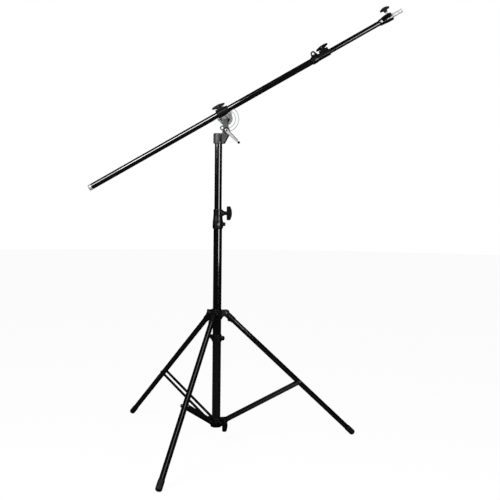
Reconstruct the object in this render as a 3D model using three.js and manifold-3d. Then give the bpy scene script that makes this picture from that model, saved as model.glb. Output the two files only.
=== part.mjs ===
// A folding boom stand for lamps: a three-leg stand, a two-section column, a tilting head set beside the
// column axis, and a two-section boom that ends in a spigot. Millimetres, +Z up, boom towards +X.
import * as THREE from "three";
import { mergeVertices } from "three/addons/utils/BufferGeometryUtils.js";
import Module from "manifold-3d";

const wasm = await Module();
wasm.setup();

// Clearances and facets
const seatGap = 0.3; // between pieces that are fastened together
const runGap = 0.35; // between pieces that slide or turn on each other
const boltGap = 0.3; // round a bolt or stud in its hole
const cutOverrun = 3; // how far a cutting tool runs past a face
const headTopShare = 0.75; // the flat top of a bolt's head, in the head's radius
const weldDistance = 0.0005; // vertices nearer than this are one vertex
const tubeFacets = 24;
const boltFacets = 12;
const dialFacets = 48;
const nutSides = 6;
const curveSteps = { coarse: 3, plain: 6, fine: 10 }; // facets on one curve of an outline
const noseSteps = 4; // facets from the side of a foot to its end
const degree = Math.PI / 180;

// The telescoping tubes, each sliding in the next larger one
const columnTube = { radius: 17.5, wall: 1.5, length: 851 };
const mastTube = { radius: 15, wall: 1.5, length: 940 };
const boomTube = { radius: 12.5, wall: 1.5, length: 1080, tailReach: 624 };
const tipTube = { radius: 10, wall: 1.5, length: 1000, exposed: 279 };
const legTube = { radius: 11, wall: 1.4 };

// The tripod: leg lengths run from the top pivot to the root of the foot's nose
const leg = { length: 769, spread: 46.75 * degree, firstAzimuth: 19.5 * degree, count: 3 };
const legAzimuth = (index) => leg.firstAzimuth + (index * 2 * Math.PI) / leg.count;
const foot = { radius: 12.5, nose: 11, round: 8.5, flatDepth: 1.85, length: 42, cover: 1.2 };
const legPivot = { radius: 36, boltRadius: 4, headRadius: 7, headHeight: 3.5 };
const legFitting = { eyeRadius: 12.5, halfWidth: 9.2, cupRadius: 13, cupStart: 13, cupEnd: 47,
  tubeStart: 22 };
const legScrewBoss = { radius: 5.5, along: 31, below: 12, halfLength: 8 };
const brace = { attachShare: 0.57, width: 13, thickness: 3, headRadius: 5.6, headHeight: 2.2 };
const bracePin = { radius: 4, reach: 12.2 };
const bracePivot = { radius: 40, boltRadius: 3.5, headRadius: 6, headHeight: 3 };
const footRoundHeight = foot.round - foot.flatDepth + (foot.radius - foot.round) * Math.sin(leg.spread);
const legPivotHeight = footRoundHeight + (leg.length + foot.nose - foot.round) * Math.cos(leg.spread);

// The lower spider, clamped on the end of the column tube
const lowerSpider = { bottom: 66, height: 36, radius: 23.5, lugRadius: 9.5, waist: 2.5, floor: 4.5 };
const lowerLugPivotHeight = lowerSpider.bottom + lowerSpider.height - lowerSpider.lugRadius;
const lowerBoss = { azimuth: leg.firstAzimuth - Math.PI / leg.count, radius: 10.5, reach: 35 };
const endPlug = { flangeInset: 0.4, plugLength: 18 };

// The upper spider, which slides on the column tube
const upperSpider = { wall: 3.6, above: 13, below: 25, earRadius: 13, earCorner: 5, earThickness: 4.2 };

// The stop collar below the upper spider
const stopCollar = { drop: 64, height: 28, wall: 2.8, lugReach: 33, lugHeight: 20, lugThickness: 7 };
const stopCollarBottom = legPivotHeight - upperSpider.below - stopCollar.drop - stopCollar.height;
const stopScrew = { azimuth: -23.5 * degree, rise: 15.5, bossRadius: 7, bossReach: 24, studRadius: 3 };
const stopScrewHead = { radius: 9.8, length: 9 };

// The column's lock collar, moulded in one piece over the joint of the two tubes
const lockCollar = { grip: 38, height: 81, knobDrop: 16, screwRise: 20 };
const lockCollarShape = { lipWall: 1.1, ringWall: 3.8, shoulderWall: 3, sleeveWall: 3.1 };
const lockBoss = { rootRadius: 15.5, endRadius: 8.5, reach: 27.2 };
const ringBoss = { rootRadius: 11.5, endRadius: 7.6, reach: 24.8 };
const clampScrew = { headRadius: 7.6, headHeight: 6, studRadius: 3 };
const columnTubeBottom = lowerSpider.bottom + lowerSpider.floor + seatGap;
const columnTubeTop = columnTubeBottom + columnTube.length;
const lockCollarBottom = columnTubeTop + seatGap - lockCollar.grip;
const lockCollarTop = lockCollarBottom + lockCollar.height;

// The tilt head, a casting on top of the mast with a fork beside the column axis
const mastExposed = 267; // from the lock collar to the head
const head = { height: 41, barrelRadius: 21.5, lipHeight: 4, splitWidth: 3.6, splitOffset: 8 };
const headBottom = lockCollarTop + mastExposed;
const fork = { cheekRadius: 9.5, cheekThickness: 9, gapHalf: 9.5, rootSpread: 3.4, pivotHeight: 101 };
const wing = { topReach: 42.5, topDrop: 7, bottomReach: 23.5 };
const eyeLug = { radius: 9.4, holeRadius: 4.9, rise: 62, sideStep: 2.6, overlap: 4.8, rootDrop: 13.2 };
const leverAxis = { rise: 51, sideStep: 7, bossRadius: 9.8 };
const pivotBolt = { radius: 5, headRadius: 7.2, headHeight: 3.2, domeRadius: 4.3, domeDrop: 0.3 };
const pivotNut = { radius: 9.2, height: 7.5 };
const dial = { radius: 52, thickness: 2.6, lineRadius: 37.5, lineWidth: 1.4, lineDepth: 0.7 };
const headScrew = { radius: 2.8, headRadius: 5, headHeight: 3.4, rise: 20 };

// The tilting cradle and the clamp that holds the boom
const boomClamp = { wall: 4.2, length: 52, shift: 2.5, cheekGap: 2.2 };
const boomClampPad = { halfWidth: 9, length: 38, height: 19.6 };
const boomClampRadius = boomTube.radius + runGap + boomClamp.wall;
const pivotOffset = boomClampRadius + boomClamp.cheekGap + fork.cheekRadius;
const cradle = { tongueRadius: 27.5, halfLength: 32, seatRise: 2.6, cornerHeight: 8.5, bevel: 1,
  blend: 12 * degree };
const cradleGroove = { innerRadius: 10, outerRadius: 20, depth: 4.5 };
const clampEar = { along: 20, drop: 3.6, radius: 4.6, thickness: 3, screwRadius: 2.4, headRadius: 4.2,
  headHeight: 2 };
const clampKnobAlong = -3;
const boomAngle = 29.2 * degree;

// The tilt lever with its stud and end cap
const lever = { hubRadius: 7.6, length: 61.6, tipRadius: 5, thickness: 8, edge: 1.6, standoff: 4,
  angle: -44 * degree };
const leverStud = { radius: 4, headRadius: 6.4, headHeight: 3.8, threadDepth: 7 };
const leverCap = { radius: 5.2, length: 8, round: 2.4 };

// The boom's lock collar with its eye, and the end socket
const boomCollar = { grip: 44.3, length: 80, ringWall: 2.6, sleeveWall: 3.4, lipLength: 14 };
const boomCollarEye = { along: 18, height: 24.6, radius: 10.4, holeRadius: 4.8, halfThickness: 3.2,
  footLength: 34, endAngle: 36 * degree };
const boomCollarPad = { along: 60, halfLength: 19, halfWidth: 8, height: 20 };
const socket = { tubeDepth: 22, length: 57, wall: 2.2, ringLength: 13, ringWall: 5.4, ridgeHeight: 17 };
const socketKnobSetback = 14;
const socketRivet = { radius: 2.2, headRadius: 4.8, headHeight: 2, along: 9 };
const spigot = { radius: 8, exposed: 43, seated: 29, chamfer: 2, neckRadius: 6.6, neckWidth: 6,
  neckSetback: 14 };
const tailCap = { length: 14.5, plugLength: 18, round: 3, wall: 1.6 };
const tubeBush = { flange: 6, plugLength: 16 };

// Three patterns of hand knob: tall ones on the stand, winged ones on the boom and a short one at its tip
const tallKnob = { half: 28.5, tipLow: 0, tipHigh: 15.5, crown: 21, width: 14, neck: 9, neckRadius: 8,
  corner: 4 };
const wingKnob = { half: 29, tipLow: 6, tipHigh: 13, crown: 16.5, width: 11, neck: 0, neckRadius: 8,
  corner: 3 };
const endKnob = { half: 20, tipLow: 6.5, tipHigh: 17, crown: 21.5, width: 12, neck: 0, neckRadius: 7,
  corner: 4 };
const clampKnobTurn = 25 * degree;
const boomKnobTurn = -35 * degree;
const endKnobStem = 7; // bare stud under the knob
const knobStud = 4; // radius of the stud
const knobBevel = 1.4;

// Finishes
const finish = (color, roughness, metalness) => new THREE.MeshStandardMaterial({ color, roughness,
  metalness });
const blackTube = finish(0x0b0b0c, 0.28, 0.35);
const blackCasting = finish(0x17181a, 0.5, 0.1);
const blackPlastic = finish(0x141416, 0.55, 0);
const greyCasting = finish(0x55575b, 0.5, 0.45);
const paleCasting = finish(0x74777b, 0.45, 0.5);
const brightSteel = finish(0xc6c8cb, 0.25, 1);
const darkSteel = finish(0x2a2b2d, 0.4, 0.8);
const rubber = finish(0x101011, 0.85, 0);
const clearPlastic = finish(0xf2f4f5, 0.15, 0);

// Solids: a closed geometry becomes a solid for cutting and joining, and comes back as a geometry
function toSolid(geometry) {
  const bare = geometry.index ? geometry.toNonIndexed() : geometry.clone();
  const welded = mergeVertices(
    new THREE.BufferGeometry().setAttribute("position", bare.getAttribute("position")),
    weldDistance,
  );
  const corners = welded.index.array;
  const kept = [];
  for (let i = 0; i < corners.length; i += 3) {
    const [a, b, c] = [corners[i], corners[i + 1], corners[i + 2]];
    if (a !== b && b !== c && c !== a) kept.push(a, b, c);
  }
  const vertProperties = Float32Array.from(welded.getAttribute("position").array);
  return new wasm.Manifold(new wasm.Mesh({ numProp: 3, vertProperties, triVerts: Uint32Array.from(kept) }));
}

function toGeometry(solid) {
  const mesh = solid.getMesh();
  const indexed = new THREE.BufferGeometry();
  indexed.setAttribute("position", new THREE.BufferAttribute(Float32Array.from(mesh.vertProperties),
    mesh.numProp));
  indexed.setIndex(new THREE.BufferAttribute(Uint32Array.from(mesh.triVerts), 1));
  const flat = indexed.toNonIndexed();
  flat.computeVertexNormals();
  return flat;
}

// One body from the pieces to join, less the tools that cut it
function joinAndCut(joined, cuts = []) {
  let body = toSolid(joined[0]);
  for (const piece of joined.slice(1)) body = body.add(toSolid(piece));
  for (const tool of cuts) body = body.subtract(toSolid(tool));
  return toGeometry(body);
}

// A round bar along +Z between two heights
const bar = (radius, from, to, facets = tubeFacets, endRadius = radius) =>
  new THREE.CylinderGeometry(endRadius, radius, to - from, facets).rotateX(Math.PI / 2).translate(0, 0,
    (from + to) / 2);

// A profile of [radius, height] points turned about Z; it starts and ends on the axis or closes on itself
const turned = (points, facets = tubeFacets) =>
  new THREE.LatheGeometry(points.map(([radius, height]) => new THREE.Vector2(radius, height)),
    facets).rotateX(Math.PI / 2);

const ring = (inner, outer, from, to, facets = tubeFacets) =>
  turned([[inner, from], [outer, from], [outer, to], [inner, to], [inner, from]], facets);

// An outline drawn in X and Z, given a thickness across Y between two values
function plate(outline, fromY, toY, bevel = 0, curveSegments = curveSteps.plain) {
  const options = { depth: toY - fromY - 2 * bevel, bevelEnabled: bevel > 0, curveSegments };
  Object.assign(options, { bevelThickness: bevel, bevelSize: bevel, bevelOffset: -bevel,
    bevelSegments: 1 });
  return new THREE.ExtrudeGeometry(outline, options).rotateX(Math.PI / 2).translate(0, toY - bevel, 0);
}

const block = (x0, x1, y0, y1, z0, z1) =>
  new THREE.BoxGeometry(x1 - x0, y1 - y0, z1 - z0).translate((x0 + x1) / 2, (y0 + y1) / 2, (z0 + z1) / 2);

// A bar made along Z laid along X or along Y
const alongX = (geometry) => geometry.rotateY(Math.PI / 2);
const alongY = (geometry) => geometry.rotateX(-Math.PI / 2);

function piece(name, geometry, material, parent) {
  const mesh = new THREE.Mesh(geometry, material);
  mesh.name = name;
  parent.add(mesh);
  return mesh;
}

function frameAt(parent, [x, y, z], turnZ = 0, turnY = 0) {
  const group = new THREE.Group();
  group.position.set(x, y, z);
  group.rotation.set(0, turnY, turnZ, "ZYX");
  parent.add(group);
  return group;
}

const tube = (size, from, to) => ring(size.radius - size.wall, size.radius, from, to);

// A hand knob: the bar lies along X and the stud points down -Z from the foot of the neck
function knobGeometry(shape, studReach) {
  const base = shape.neck;
  const outline = new THREE.Shape();
  const { half, corner, neckRadius } = shape;
  const [low, high, crown] = [base + shape.tipLow, base + shape.tipHigh, base + shape.crown];
  outline.moveTo(-half + corner, low);
  outline.quadraticCurveTo(-neckRadius, (base + low) / 2, -neckRadius, base);
  outline.lineTo(neckRadius, base);
  outline.quadraticCurveTo(neckRadius, (base + low) / 2, half - corner, low);
  outline.absarc(half - corner, low + corner, corner, -Math.PI / 2, 0, false);
  outline.absarc(half - corner, high - corner, corner, 0, Math.PI / 2, false);
  outline.quadraticCurveTo(half / 2, crown, 0, crown);
  outline.quadraticCurveTo(-half / 2, crown, -half + corner, high);
  outline.absarc(-half + corner, high - corner, corner, Math.PI / 2, Math.PI, false);
  outline.absarc(-half + corner, low + corner, corner, Math.PI, (3 * Math.PI) / 2, false);
  const wings = plate(outline, -shape.width / 2, shape.width / 2, knobBevel, curveSteps.coarse);
  const hub = bar(neckRadius, 0, crown - knobBevel, boltFacets);
  const stud = bar(knobStud, -studReach, knobBevel, boltFacets);
  return joinAndCut([wings, hub, stud]);
}

// A bolt through a joint along Y with a head at each end
const pinWithHeads = (radius, reach, headRadius, headHeight) =>
  alongY(turned([
    [0, -reach - headHeight], [headRadius * headTopShare, -reach - headHeight],
      [headRadius, -reach - headHeight / 2],
    [headRadius, -reach], [radius, -reach], [radius, reach], [headRadius, reach],
    [headRadius, reach + headHeight / 2], [headRadius * headTopShare, reach + headHeight],
    [0, reach + headHeight],
  ], boltFacets));

const stand = new THREE.Group();

// Column tube with its end plug and lower spider
piece("column_tube", tube(columnTube, columnTubeBottom, columnTubeTop), blackTube, stand);

function endPlugGeometry() {
  const outer = columnTube.radius - endPlug.flangeInset;
  const inner = columnTube.radius - columnTube.wall - seatGap;
  const top = columnTubeBottom + endPlug.plugLength;
  const floor = columnTubeBottom - seatGap;
  return turned([
    [0, lowerSpider.bottom], [outer, lowerSpider.bottom], [outer, floor], [inner, floor],
    [inner, top], [inner - columnTube.wall, top], [inner - columnTube.wall, floor], [0, floor],
  ]);
}
piece("column_end_plug", endPlugGeometry(), blackPlastic, stand);

function lowerSpiderGeometry() {
  const { bottom, height, radius, lugRadius, waist } = lowerSpider;
  const bore = columnTube.radius + seatGap;
  const top = bottom + height;
  const body = turned([
    [bore, bottom], [radius - waist, bottom], [radius, bottom + waist], [radius, top - waist],
    [radius - waist, top], [bore, top], [bore, bottom],
  ]);
  const joined = [body];
  const cuts = [];
  for (let i = 0; i < leg.count; i += 1) {
    const lug = new THREE.Shape();
    lug.moveTo(bore + seatGap, top);
    lug.lineTo(bore + seatGap, bottom + height / 3);
    lug.lineTo(bracePivot.radius - lugRadius / 2, lowerLugPivotHeight - lugRadius);
    lug.absarc(bracePivot.radius, lowerLugPivotHeight, lugRadius, -Math.PI / 2, Math.PI / 2, false);
    lug.lineTo(bore + seatGap, top);
    joined.push(plate(lug, -bracePin.reach, bracePin.reach).rotateZ(legAzimuth(i)));
    const hole = alongY(bar(bracePivot.boltRadius + boltGap, -radius, radius, boltFacets));
    cuts.push(hole.translate(bracePivot.radius, 0, lowerLugPivotHeight).rotateZ(legAzimuth(i)));
  }
  const bossHeight = bottom + height / 2;
  const boss = alongX(bar(lowerBoss.radius, bore + seatGap, lowerBoss.reach, boltFacets));
  joined.push(boss.translate(0, 0, bossHeight).rotateZ(lowerBoss.azimuth));
  const studHole = alongX(bar(knobStud + boltGap, 0, lowerBoss.reach + cutOverrun, boltFacets));
  cuts.push(studHole.translate(0, 0, bossHeight).rotateZ(lowerBoss.azimuth));
  return joinAndCut(joined, cuts);
}
piece("lower_spider", lowerSpiderGeometry(), blackCasting, stand);

for (let i = 0; i < leg.count; i += 1) {
  const reach = bracePin.reach + seatGap + brace.thickness + seatGap;
  const bolt = pinWithHeads(bracePivot.boltRadius, reach, bracePivot.headRadius, bracePivot.headHeight);
  const placed = frameAt(frameAt(stand, [0, 0, 0], legAzimuth(i)),
    [bracePivot.radius, 0, lowerLugPivotHeight]);
  piece(`brace_bolt_${i + 1}`, bolt, darkSteel, placed);
}

// A radial knob: its bar stands upright and its neck starts at the given reach from the column axis
function radialKnob(name, shape, reach, tubeRadius, azimuth, height) {
  const place = frameAt(frameAt(stand, [0, 0, 0], azimuth), [reach + seatGap, 0, height], 0, Math.PI / 2);
  piece(name, knobGeometry(shape, reach - tubeRadius), blackPlastic, place);
}
radialKnob("lower_spider_knob", tallKnob, lowerBoss.reach, columnTube.radius, lowerBoss.azimuth,
  lowerSpider.bottom + lowerSpider.height / 2);

// Stop collar and its thumbscrew
function stopCollarGeometry() {
  const bore = columnTube.radius + seatGap;
  const top = stopCollarBottom + stopCollar.height;
  const body = ring(bore, bore + stopCollar.wall, stopCollarBottom, top);
  const lug = new THREE.Shape();
  lug.moveTo(-bore - seatGap, top);
  lug.lineTo(-stopCollar.lugReach + stopCollar.wall, top);
  lug.lineTo(-stopCollar.lugReach, top - stopCollar.wall);
  lug.lineTo(-stopCollar.lugReach, top - stopCollar.lugHeight / 2);
  lug.quadraticCurveTo(-bore - stopCollar.wall, top - stopCollar.lugHeight, -bore - seatGap,
    stopCollarBottom);
  const ears = plate(lug, -stopCollar.lugThickness, stopCollar.lugThickness);
  const split = block(-stopCollar.lugReach - cutOverrun, -bore + seatGap * 2, -stopCollar.wall / 2,
    stopCollar.wall / 2, stopCollarBottom - cutOverrun, top + cutOverrun);
  const middle = stopCollarBottom + stopScrew.rise;
  const boss = alongX(bar(stopScrew.bossRadius, bore + seatGap, stopScrew.bossReach, boltFacets));
  const hole = alongX(bar(stopScrew.studRadius + boltGap, 0, stopScrew.bossReach + cutOverrun, boltFacets));
  return joinAndCut(
    [body, ears, boss.translate(0, 0, middle).rotateZ(stopScrew.azimuth)],
    [split, hole.translate(0, 0, middle).rotateZ(stopScrew.azimuth)],
  );
}
piece("stop_collar", stopCollarGeometry(), blackCasting, stand);

function thumbscrewGeometry() {
  const start = stopScrew.bossReach + seatGap;
  const end = start + stopScrewHead.length;
  const round = stopScrewHead.length / 6;
  return turned([
    [0, columnTube.radius + seatGap], [stopScrew.studRadius, columnTube.radius + seatGap],
    [stopScrew.studRadius, start], [stopScrewHead.radius - round, start],
      [stopScrewHead.radius, start + round],
    [stopScrewHead.radius, end - round], [stopScrewHead.radius - round, end], [0, end],
  ], boltFacets);
}
piece("stop_collar_screw", alongX(thumbscrewGeometry()), blackPlastic,
  frameAt(stand, [0, 0, stopCollarBottom + stopScrew.rise], stopScrew.azimuth));

// Lock collar over the joint of column tube and mast
function lockCollarGeometry() {
  const gripBore = columnTube.radius + seatGap;
  const mastBore = mastTube.radius + runGap;
  const { lipWall, ringWall, shoulderWall, sleeveWall } = lockCollarShape;
  const low = lockCollarBottom;
  const step = columnTubeTop + seatGap;
  const top = lockCollarTop;
  const body = turned([
    [gripBore, low], [gripBore + lipWall, low], [gripBore + shoulderWall, low + lockCollar.grip / 8],
    [gripBore + ringWall, low + lockCollar.grip / 3], [gripBore + shoulderWall, step - lockCollar.grip / 8],
    [mastBore + sleeveWall + lipWall, step + lockCollar.grip / 5],
      [mastBore + sleeveWall, step + lockCollar.grip / 2],
    [mastBore + sleeveWall, top - lipWall], [mastBore + sleeveWall - lipWall, top], [mastBore, top],
    [mastBore, step], [gripBore, step], [gripBore, low],
  ]);
  const knobHeight = top - lockCollar.knobDrop;
  const screwHeight = low + lockCollar.screwRise;
  const knobBoss = alongX(bar(lockBoss.rootRadius, mastBore + seatGap, lockBoss.reach, boltFacets,
    lockBoss.endRadius));
  const screwBoss = alongX(bar(ringBoss.rootRadius, gripBore + seatGap, ringBoss.reach, boltFacets,
    ringBoss.endRadius));
  const knobHole = alongX(bar(knobStud + boltGap, 0, lockBoss.reach + cutOverrun, boltFacets));
  const screwHole = alongX(bar(clampScrew.studRadius + boltGap, 0, ringBoss.reach + cutOverrun,
    boltFacets));
  return joinAndCut(
    [body, knobBoss.translate(0, 0, knobHeight), screwBoss.translate(0, 0, screwHeight)],
    [knobHole.translate(0, 0, knobHeight), screwHole.translate(0, 0, screwHeight)],
  );
}
piece("column_lock_collar", lockCollarGeometry(), blackPlastic, stand);
radialKnob("column_lock_knob", tallKnob, lockBoss.reach, mastTube.radius, 0,
  lockCollarTop - lockCollar.knobDrop);

function clampScrewGeometry() {
  const seat = ringBoss.reach + seatGap;
  const end = seat + clampScrew.headHeight;
  return turned([
    [0, columnTube.radius + seatGap], [clampScrew.studRadius, columnTube.radius + seatGap],
    [clampScrew.studRadius, seat], [clampScrew.headRadius, seat],
      [clampScrew.headRadius, end - clampScrew.headHeight / 4],
    [clampScrew.headRadius * headTopShare, end], [0, end],
  ], boltFacets);
}
piece("collar_clamp_screw", alongX(clampScrewGeometry()), darkSteel,
  frameAt(stand, [0, 0, lockCollarBottom + lockCollar.screwRise]));

// Upper spider: a sleeve with three forks for the leg tops
function upperSpiderGeometry() {
  const bore = columnTube.radius + runGap;
  const outer = bore + upperSpider.wall;
  const inner = legFitting.halfWidth + runGap;
  const body = ring(bore, outer, legPivotHeight - upperSpider.below, legPivotHeight + upperSpider.above);
  const cornerReach = legPivot.radius + upperSpider.earRadius - upperSpider.earCorner;
  const cornerHeight = legPivotHeight + upperSpider.earRadius - upperSpider.earCorner;
  const joined = [body];
  const cuts = [];
  for (let i = 0; i < leg.count; i += 1) {
    for (const side of [-1, 1]) {
      const near = side * inner;
      const far = side * (inner + upperSpider.earThickness);
      const ear = new THREE.Shape();
      ear.moveTo(bore, legPivotHeight - upperSpider.below + upperSpider.wall);
      ear.lineTo(outer + upperSpider.wall, legPivotHeight - upperSpider.earRadius);
      ear.absarc(legPivot.radius, legPivotHeight, upperSpider.earRadius, -Math.PI / 2, 0, false);
      ear.absarc(cornerReach, cornerHeight, upperSpider.earCorner, 0, Math.PI / 2, false);
      ear.lineTo(bore, legPivotHeight + upperSpider.earRadius);
      const cheek = plate(ear, Math.min(near, far), Math.max(near, far));
      joined.push(cheek.rotateZ(legAzimuth(i)));
    }
    const hole = alongY(bar(legPivot.boltRadius + boltGap, -outer, outer, boltFacets));
    cuts.push(hole.translate(legPivot.radius, 0, legPivotHeight).rotateZ(legAzimuth(i)));
  }
  cuts.push(bar(bore, legPivotHeight - upperSpider.below - cutOverrun,
    legPivotHeight + upperSpider.above + cutOverrun));
  return joinAndCut(joined, cuts);
}
piece("upper_spider", upperSpiderGeometry(), blackCasting, stand);

// One leg with its top fitting, brace pin and foot, built along X from the pivot
function legFittingGeometry() {
  const { eyeRadius, halfWidth, cupRadius, cupStart, cupEnd, tubeStart } = legFitting;
  const eye = new THREE.Shape();
  eye.absarc(0, 0, eyeRadius, Math.PI / 2, (3 * Math.PI) / 2, false);
  eye.lineTo(tubeStart, -eyeRadius);
  eye.lineTo(tubeStart, eyeRadius);
  const tongue = plate(eye, -halfWidth, halfWidth);
  const cup = alongX(bar(cupRadius, cupStart, cupEnd));
  const boss = alongY(bar(legScrewBoss.radius, -legScrewBoss.halfLength, legScrewBoss.halfLength,
    boltFacets));
  const pivotHole = alongY(bar(legPivot.boltRadius + boltGap, -cupRadius, cupRadius, boltFacets));
  const tubeSeat = alongX(bar(legTube.radius + seatGap, tubeStart, cupEnd + cutOverrun));
  return joinAndCut([tongue, cup, boss.translate(legScrewBoss.along, 0, -legScrewBoss.below)],
    [pivotHole, tubeSeat]);
}

function legTubeGeometry() {
  const from = legFitting.tubeStart + seatGap;
  const to = leg.length - foot.cover;
  const hole = alongY(bar(bracePin.radius + boltGap, -legTube.radius - cutOverrun,
    legTube.radius + cutOverrun, boltFacets));
  return joinAndCut([alongX(tube(legTube, from, to))],
    [hole.translate(leg.length * brace.attachShare, 0, 0)]);
}

// The foot's round nose is cut flat where it meets the floor
function footGeometry() {
  const end = leg.length + foot.nose;
  const start = end - foot.length;
  const profile = [[0, start], [foot.radius - foot.cover, start], [foot.radius, start + foot.cover]];
  for (let i = 0; i <= noseSteps; i += 1) {
    const angle = (i / noseSteps) * (Math.PI / 2);
    const radius = foot.radius - foot.round * (1 - Math.cos(angle));
    profile.push([radius, end - foot.round * (1 - Math.sin(angle))]);
  }
  profile.push([0, end]);
  const seat = alongX(bar(legTube.radius + seatGap, start - cutOverrun, leg.length - foot.cover + seatGap));
  const floorSide = foot.radius * 2;
  const floorDepth = legPivotHeight - leg.length * Math.cos(leg.spread);
  const floor = block(-floorSide, floorSide, -floorSide, floorSide, -floorSide, -floorDepth);
  const pitch = Math.PI / 2 - leg.spread;
  const level = floor.rotateY(-pitch).translate(leg.length, 0, 0);
  return joinAndCut([alongX(turned(profile))], [seat, level]);
}

const bracePinGeometry = () => alongY(bar(bracePin.radius, -bracePin.reach, bracePin.reach, boltFacets));

for (let i = 0; i < leg.count; i += 1) {
  const side = frameAt(stand, [0, 0, 0], legAzimuth(i));
  const pivot = [legPivot.radius, 0, legPivotHeight];
  const along = frameAt(side, pivot, 0, Math.PI / 2 - leg.spread);
  const number = i + 1;
  piece(`leg_${number}_top`, legFittingGeometry(), blackCasting, along);
  piece(`leg_${number}_tube`, legTubeGeometry(), blackTube, along);
  piece(`leg_${number}_foot`, footGeometry(), rubber, along);
  const pinPlace = frameAt(along, [leg.length * brace.attachShare, 0, 0]);
  piece(`leg_${number}_brace_pin`, bracePinGeometry(), darkSteel, pinPlace);
  const boltReach = legFitting.halfWidth + runGap + upperSpider.earThickness + seatGap;
  const bolt = pinWithHeads(legPivot.boltRadius, boltReach, legPivot.headRadius, legPivot.headHeight);
  piece(`leg_${number}_bolt`, bolt, darkSteel, frameAt(side, pivot));
}

// Brace bars, in pairs either side of a leg; the upper end covers the brace pin with a rivet head
const attachReach = legPivot.radius + leg.length * brace.attachShare * Math.sin(leg.spread);
const attachHeight = legPivotHeight - leg.length * brace.attachShare * Math.cos(leg.spread);
const braceRun = attachReach - bracePivot.radius;
const braceRise = attachHeight - lowerLugPivotHeight;
const braceLength = Math.hypot(braceRun, braceRise);

function braceGeometry(side) {
  const half = brace.width / 2;
  const outline = new THREE.Shape();
  outline.absarc(0, 0, half, Math.PI / 2, (3 * Math.PI) / 2, false);
  outline.absarc(braceLength, 0, half, -Math.PI / 2, Math.PI / 2, false);
  const hole = new THREE.Path();
  hole.absarc(0, 0, bracePivot.boltRadius + boltGap, 0, 2 * Math.PI, true);
  outline.holes.push(hole);
  const near = side * (bracePin.reach + seatGap);
  const far = side * (bracePin.reach + seatGap + brace.thickness);
  const flat = plate(outline, Math.min(near, far), Math.max(near, far));
  const tip = far + side * brace.headHeight;
  const rivet = alongY(bar(brace.headRadius, Math.min(near, tip), Math.max(near, tip), boltFacets));
  return joinAndCut([flat, rivet.translate(braceLength, 0, 0)]);
}

for (let i = 0; i < leg.count; i += 1) {
  const side = frameAt(stand, [0, 0, 0], legAzimuth(i));
  const place = frameAt(side, [bracePivot.radius, 0, lowerLugPivotHeight], 0,
    -Math.atan2(braceRise, braceRun));
  piece(`brace_${i + 1}_left`, braceGeometry(1), blackTube, place);
  piece(`brace_${i + 1}_right`, braceGeometry(-1), blackTube, place);
}

// Mast tube and its tail bush
const mastTop = headBottom + head.height - head.lipHeight - seatGap;
const mastBottom = mastTop - mastTube.length;
piece("mast_tube", tube(mastTube, mastBottom, mastTop), blackTube, stand);

// A plug in a tube's end with a flange that guides it in the next tube
function tailBushGeometry(size, guide) {
  const plugRadius = size.radius - size.wall - seatGap;
  const guideRadius = guide.radius - guide.wall - runGap;
  return turned([
    [0, -tubeBush.flange - seatGap], [guideRadius, -tubeBush.flange - seatGap], [guideRadius, -seatGap],
    [plugRadius, -seatGap], [plugRadius, tubeBush.plugLength], [0, tubeBush.plugLength],
  ]);
}
piece("mast_tail_bush", tailBushGeometry(mastTube, columnTube), blackPlastic,
  frameAt(stand, [0, 0, mastBottom]));

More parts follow.
